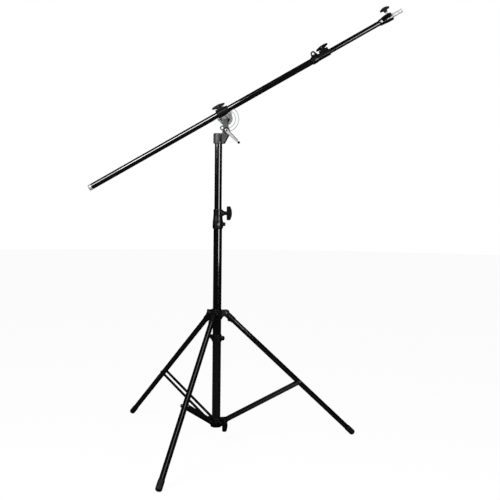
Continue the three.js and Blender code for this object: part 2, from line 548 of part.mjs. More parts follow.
// Tilt head casting: barrel, wing, fork cheeks and eye lug
function headGeometry() {
  const { height, barrelRadius, lipHeight, splitWidth, splitOffset } = head;
  const outer = fork.gapHalf + fork.cheekThickness;
  const mouth = mastTube.radius - mastTube.wall;
  const bore = mastTube.radius + seatGap;
  const edge = lipHeight / 2;
  const barrel = turned([
    [0, 0], [barrelRadius - edge / 2, 0], [barrelRadius, edge / 2], [barrelRadius, height - edge],
    [barrelRadius - edge, height], [0, height],
  ]);
  const wingShape = new THREE.Shape();
  wingShape.moveTo(0, 0);
  wingShape.lineTo(wing.bottomReach, 0);
  wingShape.lineTo(wing.topReach, height - wing.topDrop);
  wingShape.quadraticCurveTo(wing.topReach, height, wing.topReach - wing.topDrop, height);
  wingShape.lineTo(0, height);
  const wingPlate = plate(wingShape, -outer, outer, edge / 2);
  const cheek = new THREE.Shape();
  const left = pivotOffset - fork.cheekRadius;
  const right = pivotOffset + fork.cheekRadius;
  const root = height - wing.topDrop;
  cheek.moveTo(left - fork.rootSpread, root);
  cheek.lineTo(right + fork.rootSpread, root);
  cheek.lineTo(right, eyeLug.rise + eyeLug.radius);
  cheek.absarc(pivotOffset, fork.pivotHeight, fork.cheekRadius, 0, Math.PI, false);
  cheek.lineTo(left, eyeLug.rise + eyeLug.radius);
  const cheeks = [-1, 1].map((side) => {
    const faces = [side * fork.gapHalf, side * outer];
    return plate(cheek, Math.min(...faces), Math.max(...faces), edge / 2);
  });
  const leverX = pivotOffset + leverAxis.sideStep;
  const leverBosses = [-1, 1].map((side) => {
    const faces = [side * fork.gapHalf, side * outer];
    return alongY(bar(leverAxis.bossRadius, Math.min(...faces), Math.max(...faces))).translate(leverX, 0,
      leverAxis.rise);
  });
  const lugX = left - eyeLug.sideStep;
  const lugRoot = left + eyeLug.overlap;
  const lugOutline = new THREE.Shape();
  lugOutline.absarc(lugX, eyeLug.rise, eyeLug.radius, Math.PI / 2, (3 * Math.PI) / 2, false);
  lugOutline.lineTo(lugRoot, eyeLug.rise - eyeLug.rootDrop);
  lugOutline.lineTo(lugRoot, eyeLug.rise + eyeLug.radius);
  const lug = plate(lugOutline, -outer + edge / 2, -fork.gapHalf - edge / 4, 0, curveSteps.fine);
  const lugHole = alongY(bar(eyeLug.holeRadius, -outer - cutOverrun, -fork.gapHalf + cutOverrun,
    boltFacets));
  const pivotHole = alongY(bar(pivotBolt.radius + boltGap, -outer - cutOverrun, outer + cutOverrun,
    boltFacets));
  const leverHole = alongY(bar(leverStud.radius + boltGap, -outer - cutOverrun, outer + cutOverrun,
    boltFacets));
  const headPocket = alongY(bar(leverStud.headRadius + boltGap, outer - leverStud.headHeight - seatGap,
    outer + cutOverrun, boltFacets));
  const gap = block(left - fork.rootSpread - cutOverrun, wing.topReach + cutOverrun, -fork.gapHalf,
    fork.gapHalf,
    height + seatGap, fork.pivotHeight + fork.cheekRadius + cutOverrun);
  const split = block(splitOffset - splitWidth / 2, splitOffset + splitWidth / 2,
    -barrelRadius - cutOverrun,
    -mouth + seatGap, lipHeight * 2, height + cutOverrun);
  const screwHole = alongY(bar(headScrew.radius + boltGap, 0, barrelRadius + cutOverrun, boltFacets));
  return joinAndCut(
    [barrel, wingPlate, ...cheeks, ...leverBosses, lug],
    [
      bar(bore, -cutOverrun, height - lipHeight),
      bar(mouth, 0, height + cutOverrun),
      lugHole.translate(lugX, 0, eyeLug.rise),
      pivotHole.translate(pivotOffset, 0, fork.pivotHeight),
      leverHole.translate(leverX, 0, leverAxis.rise),
      headPocket.translate(leverX, 0, leverAxis.rise),
      screwHole.translate(0, 0, headScrew.rise),
      gap,
      split,
    ],
  );
}
const headFrame = frameAt(stand, [0, 0, headBottom]);
piece("head_casting", headGeometry(), greyCasting, headFrame);

const forkOuter = fork.gapHalf + fork.cheekThickness;
const pivotFrame = frameAt(headFrame, [pivotOffset, 0, fork.pivotHeight]);
const dialBack = forkOuter + seatGap + dial.thickness;

// Set screw that holds the head on the mast, at the back of the barrel
function headScrewGeometry() {
  const seat = head.barrelRadius + seatGap;
  const end = seat + headScrew.headHeight;
  const tip = mastTube.radius + seatGap;
  return turned([
    [0, tip], [headScrew.radius, tip], [headScrew.radius, seat], [headScrew.headRadius, seat],
    [headScrew.headRadius * headTopShare, end], [0, end],
  ], boltFacets);
}
piece("head_screw", alongY(headScrewGeometry()), darkSteel, frameAt(headFrame, [0, 0, headScrew.rise]));

// Pivot bolt with a domed head in front and a nut behind the angle dial
function pivotBoltGeometry() {
  const front = -forkOuter - seatGap;
  const back = dialBack + seatGap + pivotNut.height;
  return turned([
    [0, front - pivotBolt.headHeight],
    [pivotBolt.domeRadius, front - pivotBolt.headHeight + pivotBolt.domeDrop],
    [pivotBolt.headRadius, front - pivotBolt.headHeight / 3], [pivotBolt.headRadius, front],
    [pivotBolt.radius, front], [pivotBolt.radius, back + pivotBolt.headHeight / 2],
    [0, back + pivotBolt.headHeight / 2],
  ], boltFacets);
}
piece("pivot_bolt", alongY(pivotBoltGeometry()), darkSteel, pivotFrame);

function pivotNutGeometry() {
  const from = dialBack + seatGap;
  const hexagon = bar(pivotNut.radius, from, from + pivotNut.height, nutSides);
  const thread = bar(pivotBolt.radius + seatGap, from - cutOverrun,
    from + pivotNut.height + cutOverrun, boltFacets);
  return joinAndCut([hexagon], [thread]);
}
piece("pivot_nut", alongY(pivotNutGeometry()), darkSteel, pivotFrame);

// Clear angle dial behind the fork, with an engraved circle on its front face
function dialGeometry() {
  const bore = pivotBolt.radius + boltGap;
  const front = forkOuter + seatGap;
  const lineOut = dial.lineRadius + dial.lineWidth;
  return turned([
    [bore, front], [dial.lineRadius, front], [dial.lineRadius, front + dial.lineDepth],
    [lineOut, front + dial.lineDepth], [lineOut, front], [dial.radius, front], [dial.radius, dialBack],
    [bore, dialBack], [bore, front],
  ], dialFacets);
}
piece("angle_dial", alongY(dialGeometry()), clearPlastic, pivotFrame);

// Tilt lever: a flat handle on a hub in front of the fork, its stud headed in the rear cheek
const leverFrame = frameAt(headFrame, [pivotOffset + leverAxis.sideStep, 0, leverAxis.rise], 0,
  -lever.angle);

function leverGeometry() {
  const hubFace = -forkOuter - seatGap;
  const armBack = hubFace - lever.standoff;
  const taper = Math.asin((lever.hubRadius - lever.tipRadius) / lever.length);
  const outline = new THREE.Shape();
  outline.absarc(0, 0, lever.hubRadius, Math.PI / 2 - taper, (3 * Math.PI) / 2 + taper, false);
  outline.absarc(lever.length, 0, lever.tipRadius, -Math.PI / 2 + taper, Math.PI / 2 - taper, false);
  const arm = plate(outline, armBack - lever.thickness, armBack, lever.edge);
  const hub = alongY(bar(lever.hubRadius, armBack - lever.thickness / 2, hubFace));
  const thread = alongY(bar(leverStud.radius + seatGap, hubFace - leverStud.threadDepth,
    hubFace + cutOverrun, boltFacets));
  return joinAndCut([arm, hub], [thread]);
}
piece("tilt_lever", leverGeometry(), brightSteel, leverFrame);

function leverCapGeometry() {
  const start = lever.length + lever.tipRadius + seatGap;
  const end = start + leverCap.length;
  return turned([
    [0, start], [leverCap.radius, start], [leverCap.radius, end - leverCap.round],
    [leverCap.radius - leverCap.round, end], [0, end],
  ], boltFacets);
}
const leverCapFrame = frameAt(leverFrame, [0, -forkOuter - seatGap - lever.standoff - lever.thickness / 2,
  0]);
piece("tilt_lever_cap", alongX(leverCapGeometry()), blackPlastic, leverCapFrame);

function leverStudGeometry() {
  const tip = -forkOuter - seatGap - leverStud.threadDepth + seatGap;
  const seat = forkOuter - leverStud.headHeight;
  return turned([
    [0, tip], [leverStud.radius, tip], [leverStud.radius, seat], [leverStud.headRadius, seat],
    [leverStud.headRadius, forkOuter], [0, forkOuter],
  ], boltFacets);
}
piece("tilt_lever_stud", alongY(leverStudGeometry()), darkSteel, leverFrame);

// Tilting cradle: a round tongue in the fork that spreads into a saddle under the boom clamp
const tiltFrame = frameAt(headFrame, [pivotOffset, 0, fork.pivotHeight], 0, -boomAngle);

function cradleGeometry() {
  const { tongueRadius, halfLength, seatRise, cornerHeight, bevel, blend } = cradle;
  const half = fork.gapHalf - runGap;
  const seat = pivotOffset - boomClampRadius + seatRise;
  const outline = new THREE.Shape();
  outline.moveTo(-halfLength, seat);
  outline.lineTo(-halfLength, cornerHeight);
  outline.quadraticCurveTo(-tongueRadius, cornerHeight / 3, -tongueRadius * Math.cos(blend),
    -tongueRadius * Math.sin(blend));
  outline.absarc(0, 0, tongueRadius, Math.PI + blend, 2 * Math.PI - blend, false);
  outline.quadraticCurveTo(tongueRadius, cornerHeight / 3, halfLength, cornerHeight);
  outline.lineTo(halfLength, seat);
  const body = plate(outline, -half, half, bevel, curveSteps.fine);
  const channel = alongX(bar(boomClampRadius + seatGap, -halfLength - cutOverrun, halfLength + cutOverrun));
  const pivotHole = alongY(bar(pivotBolt.radius + boltGap, -half - cutOverrun, half + cutOverrun,
    boltFacets));
  const screwHole = alongY(bar(clampEar.screwRadius + boltGap, -half - cutOverrun, half + cutOverrun,
    boltFacets));
  const screwHeight = pivotOffset - boomClampRadius - clampEar.drop;
  const grooves = [-1, 1].map((side) => {
    const faces = [side * (half - cradleGroove.depth), side * (half + cutOverrun)];
    return alongY(ring(cradleGroove.innerRadius, cradleGroove.outerRadius, Math.min(...faces),
      Math.max(...faces)));
  });
  return joinAndCut([body], [
    channel.translate(0, 0, pivotOffset), pivotHole, screwHole.translate(-clampEar.along, 0, screwHeight),
      ...grooves,
  ]);
}
piece("tilt_cradle", cradleGeometry(), paleCasting, tiltFrame);

// Boom clamp: a sleeve with a pad for its knob and two ears bolted to the cradle
const boomFrame = frameAt(tiltFrame, [0, 0, pivotOffset]);

function boomClampGeometry() {
  const start = boomClamp.shift - boomClamp.length / 2;
  const end = boomClamp.shift + boomClamp.length / 2;
  const lip = boomClamp.wall / 3;
  const bore = boomTube.radius + runGap;
  const sleeve = alongX(turned([
    [bore, start], [boomClampRadius - lip, start], [boomClampRadius, start + lip],
      [boomClampRadius, end - lip],
    [boomClampRadius - lip, end], [bore, end], [bore, start],
  ]));
  const padMiddle = clampKnobAlong;
  const pad = block(padMiddle - boomClampPad.length / 2, padMiddle + boomClampPad.length / 2,
    -boomClampPad.halfWidth, boomClampPad.halfWidth, 0, boomClampPad.height);
  const earDrop = -boomClampRadius - clampEar.drop;
  const earShape = new THREE.Shape();
  earShape.moveTo(-clampEar.along - clampEar.radius, -boomTube.radius);
  earShape.absarc(-clampEar.along, earDrop, clampEar.radius, Math.PI, 2 * Math.PI, false);
  earShape.lineTo(-clampEar.along + clampEar.radius, -boomTube.radius);
  const ears = [-1, 1].map((side) => {
    const faces = [side * (fork.gapHalf - runGap + seatGap),
      side * (fork.gapHalf - runGap + seatGap + clampEar.thickness)];
    return plate(earShape, Math.min(...faces), Math.max(...faces));
  });
  const earHole = alongY(bar(clampEar.screwRadius + boltGap, -boomClampRadius, boomClampRadius,
    boltFacets));
  const knobHole = bar(knobStud + boltGap, 0, boomClampPad.height + cutOverrun, boltFacets);
  return joinAndCut([sleeve, pad, ...ears], [
    alongX(bar(bore, start - cutOverrun, end + cutOverrun)),
    earHole.translate(-clampEar.along, 0, earDrop),
    knobHole.translate(padMiddle, 0, 0),
  ]);
}
piece("boom_clamp", boomClampGeometry(), blackCasting, boomFrame);

const clampScrewReach = fork.gapHalf - runGap + seatGap + clampEar.thickness + seatGap;
piece("boom_clamp_screw", pinWithHeads(clampEar.screwRadius, clampScrewReach, clampEar.headRadius,
  clampEar.headHeight),
  darkSteel, frameAt(boomFrame, [-clampEar.along, 0, -boomClampRadius - clampEar.drop]));

// A knob on the boom: its bar lies along the boom unless turned, and its stud points at the tube
function boomKnob(name, shape, along, seat, tubeRadius, stem = 0, turn = 0) {
  const place = frameAt(boomFrame, [along, 0, seat + seatGap + stem], turn);
  piece(name, knobGeometry(shape, seat + stem - tubeRadius), blackPlastic, place);
}
boomKnob("boom_clamp_knob", wingKnob, clampKnobAlong, boomClampPad.height, boomTube.radius, 0,
  clampKnobTurn);

// Boom tubes, bush and tail cap
const boomEnd = boomTube.length - boomTube.tailReach;
const tipReach = boomEnd + tipTube.exposed;
const tipStart = tipReach - tipTube.length;
piece("boom_tube", alongX(tube(boomTube, -boomTube.tailReach, boomEnd)), blackTube, boomFrame);
piece("tip_tube", alongX(tube(tipTube, tipStart, tipReach)), blackTube, boomFrame);
piece("tip_tail_bush", alongX(tailBushGeometry(tipTube, boomTube)), blackPlastic,
  frameAt(boomFrame, [tipStart, 0, 0]));

function tailCapGeometry() {
  const plug = boomTube.radius - boomTube.wall - seatGap;
  const end = -boomTube.tailReach - seatGap;
  return turned([
    [0, end - tailCap.length], [boomTube.radius - tailCap.round, end - tailCap.length],
    [boomTube.radius, end - tailCap.length + tailCap.round], [boomTube.radius, end], [plug, end],
    [plug, end + tailCap.plugLength], [plug - tailCap.wall, end + tailCap.plugLength],
      [plug - tailCap.wall, end],
    [0, end],
  ]);
}
piece("boom_tail_cap", alongX(tailCapGeometry()), brightSteel, boomFrame);

// Boom lock collar: sleeve over the joint of the boom tubes, with an eye and a pad for the knob
const boomCollarStart = boomEnd + seatGap - boomCollar.grip;

function boomCollarGeometry() {
  const { length, ringWall, sleeveWall, lipLength } = boomCollar;
  const start = boomCollarStart;
  const gripBore = boomTube.radius + seatGap;
  const tipBore = tipTube.radius + runGap;
  const step = boomEnd + seatGap;
  const end = start + length;
  const body = alongX(turned([
    [gripBore, start], [gripBore + ringWall, start], [gripBore + ringWall, start + lipLength],
    [tipBore + sleeveWall, start + 2 * lipLength], [tipBore + sleeveWall, end - sleeveWall / 2],
    [tipBore + sleeveWall / 2, end], [tipBore, end], [tipBore, step], [gripBore, step], [gripBore, start],
  ]));
  const eye = boomCollarEye;
  const eyeX = start + eye.along;
  const outline = new THREE.Shape();
  outline.moveTo(start, 0);
  outline.lineTo(eyeX - eye.radius, eye.height);
  outline.absarc(eyeX, eye.height, eye.radius, Math.PI, eye.endAngle, true);
  outline.lineTo(start + eye.footLength, gripBore);
  outline.lineTo(start + eye.footLength, 0);
  const lug = plate(outline, -eye.halfThickness, eye.halfThickness, 0, curveSteps.fine);
  const eyeHole = alongY(bar(eye.holeRadius, -gripBore, gripBore, boltFacets)).translate(eyeX, 0,
    eye.height);
  const padX = start + boomCollarPad.along;
  const pad = block(padX - boomCollarPad.halfLength, padX + boomCollarPad.halfLength,
    -boomCollarPad.halfWidth,
    boomCollarPad.halfWidth, 0, boomCollarPad.height);
  const knobHole = bar(knobStud + boltGap, 0, boomCollarPad.height + cutOverrun,
    boltFacets).translate(padX, 0, 0);
  return joinAndCut([body, lug, pad], [
    alongX(bar(gripBore, start - cutOverrun, step)), alongX(bar(tipBore, start, end + cutOverrun)),
      eyeHole, knobHole,
  ]);
}
piece("boom_lock_collar", boomCollarGeometry(), blackPlastic, boomFrame);
boomKnob("boom_lock_knob", wingKnob, boomCollarStart + boomCollarPad.along, boomCollarPad.height,
  tipTube.radius, 0, boomKnobTurn);

// End socket with its rivet, spigot and knob
const socketStart = tipReach - socket.tubeDepth;
const socketEnd = socketStart + socket.length;
const socketKnobAlong = socketEnd - socketKnobSetback;

function socketGeometry() {
  const { wall, ringLength, ringWall, ridgeHeight } = socket;
  const start = socketStart;
  const tubeBore = tipTube.radius + seatGap;
  const spigotBore = spigot.radius + runGap;
  const ringStart = socketEnd - ringLength;
  const body = alongX(turned([
    [0, start], [tubeBore + wall / 2, start], [tubeBore + wall, start + wall],
      [tubeBore + wall, ringStart - wall],
    [tubeBore + ringWall, ringStart], [tubeBore + ringWall, socketEnd - wall / 2],
    [tubeBore + ringWall - wall / 2, socketEnd], [0, socketEnd],
  ]));
  const ridge = new THREE.Shape();
  ridge.moveTo(start + ringLength / 2, 0);
  ridge.lineTo(start + ringLength / 2, tubeBore + wall / 2);
  ridge.quadraticCurveTo(start + ringLength * 2, ridgeHeight, socketKnobAlong - ringLength / 2,
    ridgeHeight);
  ridge.lineTo(socketKnobAlong + ringLength / 2, ridgeHeight);
  ridge.lineTo(socketEnd - wall, tubeBore + ringWall - wall);
  ridge.lineTo(socketEnd - wall, 0);
  const ridgePlate = plate(ridge, -ringLength / 2, ringLength / 2);
  const knobHole = bar(knobStud + boltGap, 0, ridgeHeight + cutOverrun,
    boltFacets).translate(socketKnobAlong, 0, 0);
  const rivetHole = alongY(bar(socketRivet.radius + boltGap, -tubeBore - wall - cutOverrun, 0, boltFacets));
  const tubeSeat = alongX(bar(tubeBore, start - cutOverrun, tipReach + seatGap));
  const spigotSeat = alongX(bar(spigotBore, socketEnd - spigot.seated - runGap, socketEnd + cutOverrun));
  return joinAndCut([body, ridgePlate], [
    tubeSeat, spigotSeat, knobHole, rivetHole.translate(start + socketRivet.along, 0, 0),
  ]);
}
piece("end_socket", socketGeometry(), blackCasting, boomFrame);

function socketRivetGeometry() {
  const face = tipTube.radius + seatGap + socket.wall + seatGap;
  return turned([
    [0, tipTube.radius + seatGap], [socketRivet.radius, tipTube.radius + seatGap],
      [socketRivet.radius, face],
    [socketRivet.headRadius, face], [socketRivet.headRadius * headTopShare, face + socketRivet.headHeight],
    [0, face + socketRivet.headHeight],
  ], boltFacets).rotateX(Math.PI / 2);
}
piece("socket_rivet", socketRivetGeometry(), brightSteel, frameAt(boomFrame,
  [socketStart + socketRivet.along, 0, 0]));

function spigotGeometry() {
  const { radius, exposed, seated, chamfer, neckRadius, neckWidth, neckSetback } = spigot;
  const tip = socketEnd + exposed;
  const neckEnd = tip - neckSetback;
  const slope = radius - neckRadius;
  return turned([
    [0, socketEnd - seated], [radius - chamfer, socketEnd - seated], [radius, socketEnd - seated + chamfer],
    [radius, neckEnd - neckWidth], [neckRadius, neckEnd - neckWidth + slope], [neckRadius, neckEnd - slope],
    [radius, neckEnd], [radius, tip - chamfer], [radius - chamfer, tip], [0, tip],
  ]);
}
piece("spigot", alongX(spigotGeometry()), brightSteel, boomFrame);
boomKnob("end_knob", endKnob, socketKnobAlong, socket.ridgeHeight, spigot.radius, endKnobStem);

// The part's origin is on the floor under the middle of its outline
const floorPart = new THREE.Group();
floorPart.add(stand);
stand.updateMatrixWorld(true);
const outline = new THREE.Box3().setFromObject(stand, true);
stand.position.set(-(outline.min.x + outline.max.x) / 2, -(outline.min.y + outline.max.y) / 2, 0);

export default floorPart;
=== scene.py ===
import bpy
import bmesh
from math import radians, sin, cos, pi, atan2, hypot
from mathutils import Matrix, Vector


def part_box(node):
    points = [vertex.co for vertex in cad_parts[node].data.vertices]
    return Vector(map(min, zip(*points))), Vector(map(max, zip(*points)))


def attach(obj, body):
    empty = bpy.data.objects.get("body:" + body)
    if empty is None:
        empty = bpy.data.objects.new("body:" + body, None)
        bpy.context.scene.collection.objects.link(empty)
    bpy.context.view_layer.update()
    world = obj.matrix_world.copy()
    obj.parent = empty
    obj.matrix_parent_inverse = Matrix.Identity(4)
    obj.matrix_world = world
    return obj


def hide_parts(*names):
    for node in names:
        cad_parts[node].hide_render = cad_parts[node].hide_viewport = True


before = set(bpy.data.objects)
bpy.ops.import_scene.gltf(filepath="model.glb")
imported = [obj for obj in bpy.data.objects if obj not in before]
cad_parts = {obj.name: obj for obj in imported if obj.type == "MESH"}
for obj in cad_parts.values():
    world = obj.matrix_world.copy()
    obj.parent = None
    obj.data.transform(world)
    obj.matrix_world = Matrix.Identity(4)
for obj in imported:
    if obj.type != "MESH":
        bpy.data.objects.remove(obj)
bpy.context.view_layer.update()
scene = bpy.context.scene

# Studio: a seamless white floor and wall, a large soft light on each side and two above.
# The camera stands about three metres away, a metre up, and looks slightly down.
column_low, column_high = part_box("column_tube")
column_place = Matrix.Translation(((column_low.x + column_high.x) / 2, (column_low.y + column_high.y) / 2, 0))
studio_turn = Matrix.Rotation(radians(6.54), 4, "Z")
camera_spot = (0.1081, -3.2309, 0.9875)
focal_pixels, picture_pixels, film_width = 789.8, 500, 36
pitch, roll = radians(-2.890), radians(0.606)
look = Vector((0, cos(pitch), sin(pitch)))
level = Vector((1, 0, 0))
rise = level.cross(look)
camera_right = cos(roll) * level + sin(roll) * rise
camera_up = cos(roll) * rise - sin(roll) * level
camera_axes = Matrix((camera_right, camera_up, -look)).transposed().to_4x4()
camera_data = bpy.data.cameras.new("camera")
camera_data.sensor_width = film_width
camera_data.lens = focal_pixels / picture_pixels * film_width
camera_data.shift_x, camera_data.shift_y = 0.0119, -0.01225
camera_data.clip_end = 60
camera = bpy.data.objects.new("camera", camera_data)
scene.collection.objects.link(camera)
camera.matrix_world = column_place @ studio_turn @ Matrix.Translation(camera_spot) @ camera_axes
scene.camera = camera
scene.view_settings.view_transform = "Standard"


def seen_directly(tree):
    """One for rays from the camera, through glass or off a glossy skin, and zero for the rest."""
    rays = tree.nodes.new("ShaderNodeLightPath")
    total = rays.outputs["Is Camera Ray"]
    for kind in ("Is Transmission Ray", "Is Glossy Ray"):
        adder = tree.nodes.new("ShaderNodeMath")
        adder.operation, adder.use_clamp = "ADD", True
        tree.links.new(total, adder.inputs[0])
        tree.links.new(rays.outputs[kind], adder.inputs[1])
        total = adder.outputs[0]
    return total


room_glow, room_white = 0.2, 1
room = bpy.data.worlds.new("room")
scene.world = room
room.use_nodes = True
room_tree = room.node_tree
room_tree.nodes.clear()
room_out = room_tree.nodes.new("ShaderNodeOutputWorld")
room_mix = room_tree.nodes.new("ShaderNodeMixShader")
room_tree.links.new(seen_directly(room_tree), room_mix.inputs["Fac"])
for socket, strength in enumerate((room_glow, room_white), 1):
    wall_white = room_tree.nodes.new("ShaderNodeBackground")
    wall_white.inputs["Color"].default_value = (1, 1, 1, 1)
    wall_white.inputs["Strength"].default_value = strength
    room_tree.links.new(wall_white.outputs[0], room_mix.inputs[socket])
room_tree.links.new(room_mix.outputs[0], room_out.inputs["Surface"])

floor_radius, floor_glow, floor_white_share = 14, 1.08, 0.88
floor_mesh = bpy.data.meshes.new("floor")
floor = bpy.data.objects.new("floor", floor_mesh)
scene.collection.objects.link(floor)
floor_form = bmesh.new()
bmesh.ops.create_circle(floor_form, cap_ends=True, segments=64, radius=floor_radius)
floor_form.to_mesh(floor_mesh)
floor_form.free()
floor_paint = bpy.data.materials.new("floor_paint")
floor_paint.use_nodes = True
floor_tree = floor_paint.node_tree
floor_tree.nodes.clear()
floor_out = floor_tree.nodes.new("ShaderNodeOutputMaterial")
floor_mix = floor_tree.nodes.new("ShaderNodeMixShader")
floor_matt = floor_tree.nodes.new("ShaderNodeBsdfDiffuse")
floor_matt.inputs["Color"].default_value = (0.5, 0.5, 0.5, 1)
floor_white = floor_tree.nodes.new("ShaderNodeEmission")
floor_white.inputs["Strength"].default_value = floor_glow
floor_share = floor_tree.nodes.new("ShaderNodeMath")
floor_share.operation = "MULTIPLY"
floor_share.inputs[1].default_value = floor_white_share
floor_tree.links.new(seen_directly(floor_tree), floor_share.inputs[0])
floor_tree.links.new(floor_share.outputs[0], floor_mix.inputs["Fac"])
floor_tree.links.new(floor_matt.outputs[0], floor_mix.inputs[1])
floor_tree.links.new(floor_white.outputs[0], floor_mix.inputs[2])
floor_tree.links.new(floor_mix.outputs[0], floor_out.inputs["Surface"])
floor_mesh.materials.append(floor_paint)

# Black velvet lies under the stand, hangs round the set and closes it above.
# Only reflections see it, and it keeps the enamel dark.
curtain_radius, curtain_height, curtain_middle = 6, 4.2, 2.103
curtain_mesh = bpy.data.meshes.new("curtain")
curtain = bpy.data.objects.new("curtain", curtain_mesh)
scene.collection.objects.link(curtain)
curtain_form = bmesh.new()
bmesh.ops.create_cone(curtain_form, cap_ends=True, segments=48,
                      radius1=curtain_radius, radius2=curtain_radius, depth=curtain_height,
                      matrix=Matrix.Translation((0, 0, curtain_middle)))
curtain_form.to_mesh(curtain_mesh)
curtain_form.free()
velvet = bpy.data.materials.new("black_velvet")
velvet.use_nodes = True
velvet_skin = velvet.node_tree.nodes["Principled BSDF"]
velvet_skin.inputs["Base Color"].default_value = (0.02, 0.02, 0.02, 1)
velvet_skin.inputs["Roughness"].default_value = 1
curtain_mesh.materials.append(velvet)
curtain.visible_camera = False
curtain.visible_transmission = False
curtain.visible_diffuse = False
curtain.visible_shadow = False

# Softbox places are about the column, with the camera towards -Y: a tall box at the right, a small one
# at the left, one above the camera's left shoulder that lies along the boom, and a dim one overhead.
for name, place, aim, along, long, wide, power in (
    ("right_softbox", (1.30, -2.02, 1.30), (0, 0, 1.2), (0, 0, 1), 1.48, 0.8, 27),
    ("boom_softbox", (-1.33, -2.09, 2.22), (-0.2, 0, 1.25), (0.84, -0.16, 0.5), 1.0, 0.8, 38),
    ("left_softbox", (-1.78, -1.62, 1.78), (0, 0, 1.3), (0, 0, 1), 0.8, 0.6, 14),
    ("top_softbox", (0.67, -1.17, 2.80), (0, -0.3, 0.3), (-0.16, -0.87, -0.47), 1.3, 0.5, 5),
):
    lamp = bpy.data.lights.new(name, "AREA")
    lamp.shape, lamp.size, lamp.size_y, lamp.energy = "RECTANGLE", long, wide, power
    holder = bpy.data.objects.new(name, lamp)
    scene.collection.objects.link(holder)
    back = (Vector(place) - Vector(aim)).normalized()
    length_way = Vector(along)
    length_way = (length_way - back * length_way.dot(back)).normalized()
    facing = Matrix((length_way, back.cross(length_way), back)).transposed().to_4x4()
    holder.matrix_world = column_place @ studio_turn @ Matrix.Translation(place) @ facing
    holder.visible_camera = False


# Column tube: a drawn steel tube with glossy black stove enamel, its rims rolled over.
# The enamel shows a faint orange peel and soft rubbing marks where tubes slide.
def group_inputs(group, *named):
    for name, kind, value in named:
        group.interface.new_socket(name, in_out="INPUT", socket_type=kind).default_value = value


def make_rubbing():
    """Soft wear marks: a mask from 0 to 1 that varies over the surface in long faint patches."""
    group = bpy.data.node_groups.new("rubbing", "ShaderNodeTree")
    group_inputs(group, ("Size", "NodeSocketFloat", 30.0), ("Amount", "NodeSocketFloat", 0.5))
    group.interface.new_socket("Mask", in_out="OUTPUT", socket_type="NodeSocketFloat")
    take, give = group.nodes.new("NodeGroupInput"), group.nodes.new("NodeGroupOutput")
    where = group.nodes.new("ShaderNodeTexCoord")
    cloud = group.nodes.new("ShaderNodeTexNoise")
    cloud.inputs["Detail"].default_value = 5
    cloud.inputs["Roughness"].default_value = 0.62
    spread = group.nodes.new("ShaderNodeMapRange")
    spread.inputs["From Min"].default_value, spread.inputs["From Max"].default_value = 0.42, 0.72
    group.links.new(where.outputs["Object"], cloud.inputs["Vector"])
    group.links.new(take.outputs["Size"], cloud.inputs["Scale"])
    group.links.new(cloud.outputs["Fac"], spread.inputs["Value"])
    group.links.new(take.outputs["Amount"], spread.inputs["To Max"])
    group.links.new(spread.outputs["Result"], give.inputs["Mask"])
    return group


def make_grain():
    """Fine surface texture: the height of a cast, moulded or sprayed skin."""
    group = bpy.data.node_groups.new("grain", "ShaderNodeTree")
    group_inputs(group, ("Size", "NodeSocketFloat", 900.0), ("Depth", "NodeSocketFloat", 0.5))
    group.interface.new_socket("Height", in_out="OUTPUT", socket_type="NodeSocketFloat")
    take, give = group.nodes.new("NodeGroupInput"), group.nodes.new("NodeGroupOutput")
    where = group.nodes.new("ShaderNodeTexCoord")
    fine = group.nodes.new("ShaderNodeTexNoise")
    fine.inputs["Detail"].default_value = 3
    pits = group.nodes.new("ShaderNodeTexVoronoi")
    both = group.nodes.new("ShaderNodeMath")
    both.operation = "ADD"
    scaled = group.nodes.new("ShaderNodeMath")
    scaled.operation = "MULTIPLY"
    group.links.new(where.outputs["Object"], fine.inputs["Vector"])
    group.links.new(where.outputs["Object"], pits.inputs["Vector"])
    group.links.new(take.outputs["Size"], fine.inputs["Scale"])
    group.links.new(take.outputs["Size"], pits.inputs["Scale"])
    group.links.new(fine.outputs["Fac"], both.inputs[0])
    group.links.new(pits.outputs["Distance"], both.inputs[1])
    group.links.new(both.outputs[0], scaled.inputs[0])
    group.links.new(take.outputs["Depth"], scaled.inputs[1])
    group.links.new(scaled.outputs[0], give.inputs["Height"])
    return group


rubbing, grain = make_rubbing(), make_grain()
coat_gloss, relief_depth = 0.05, 0.0002


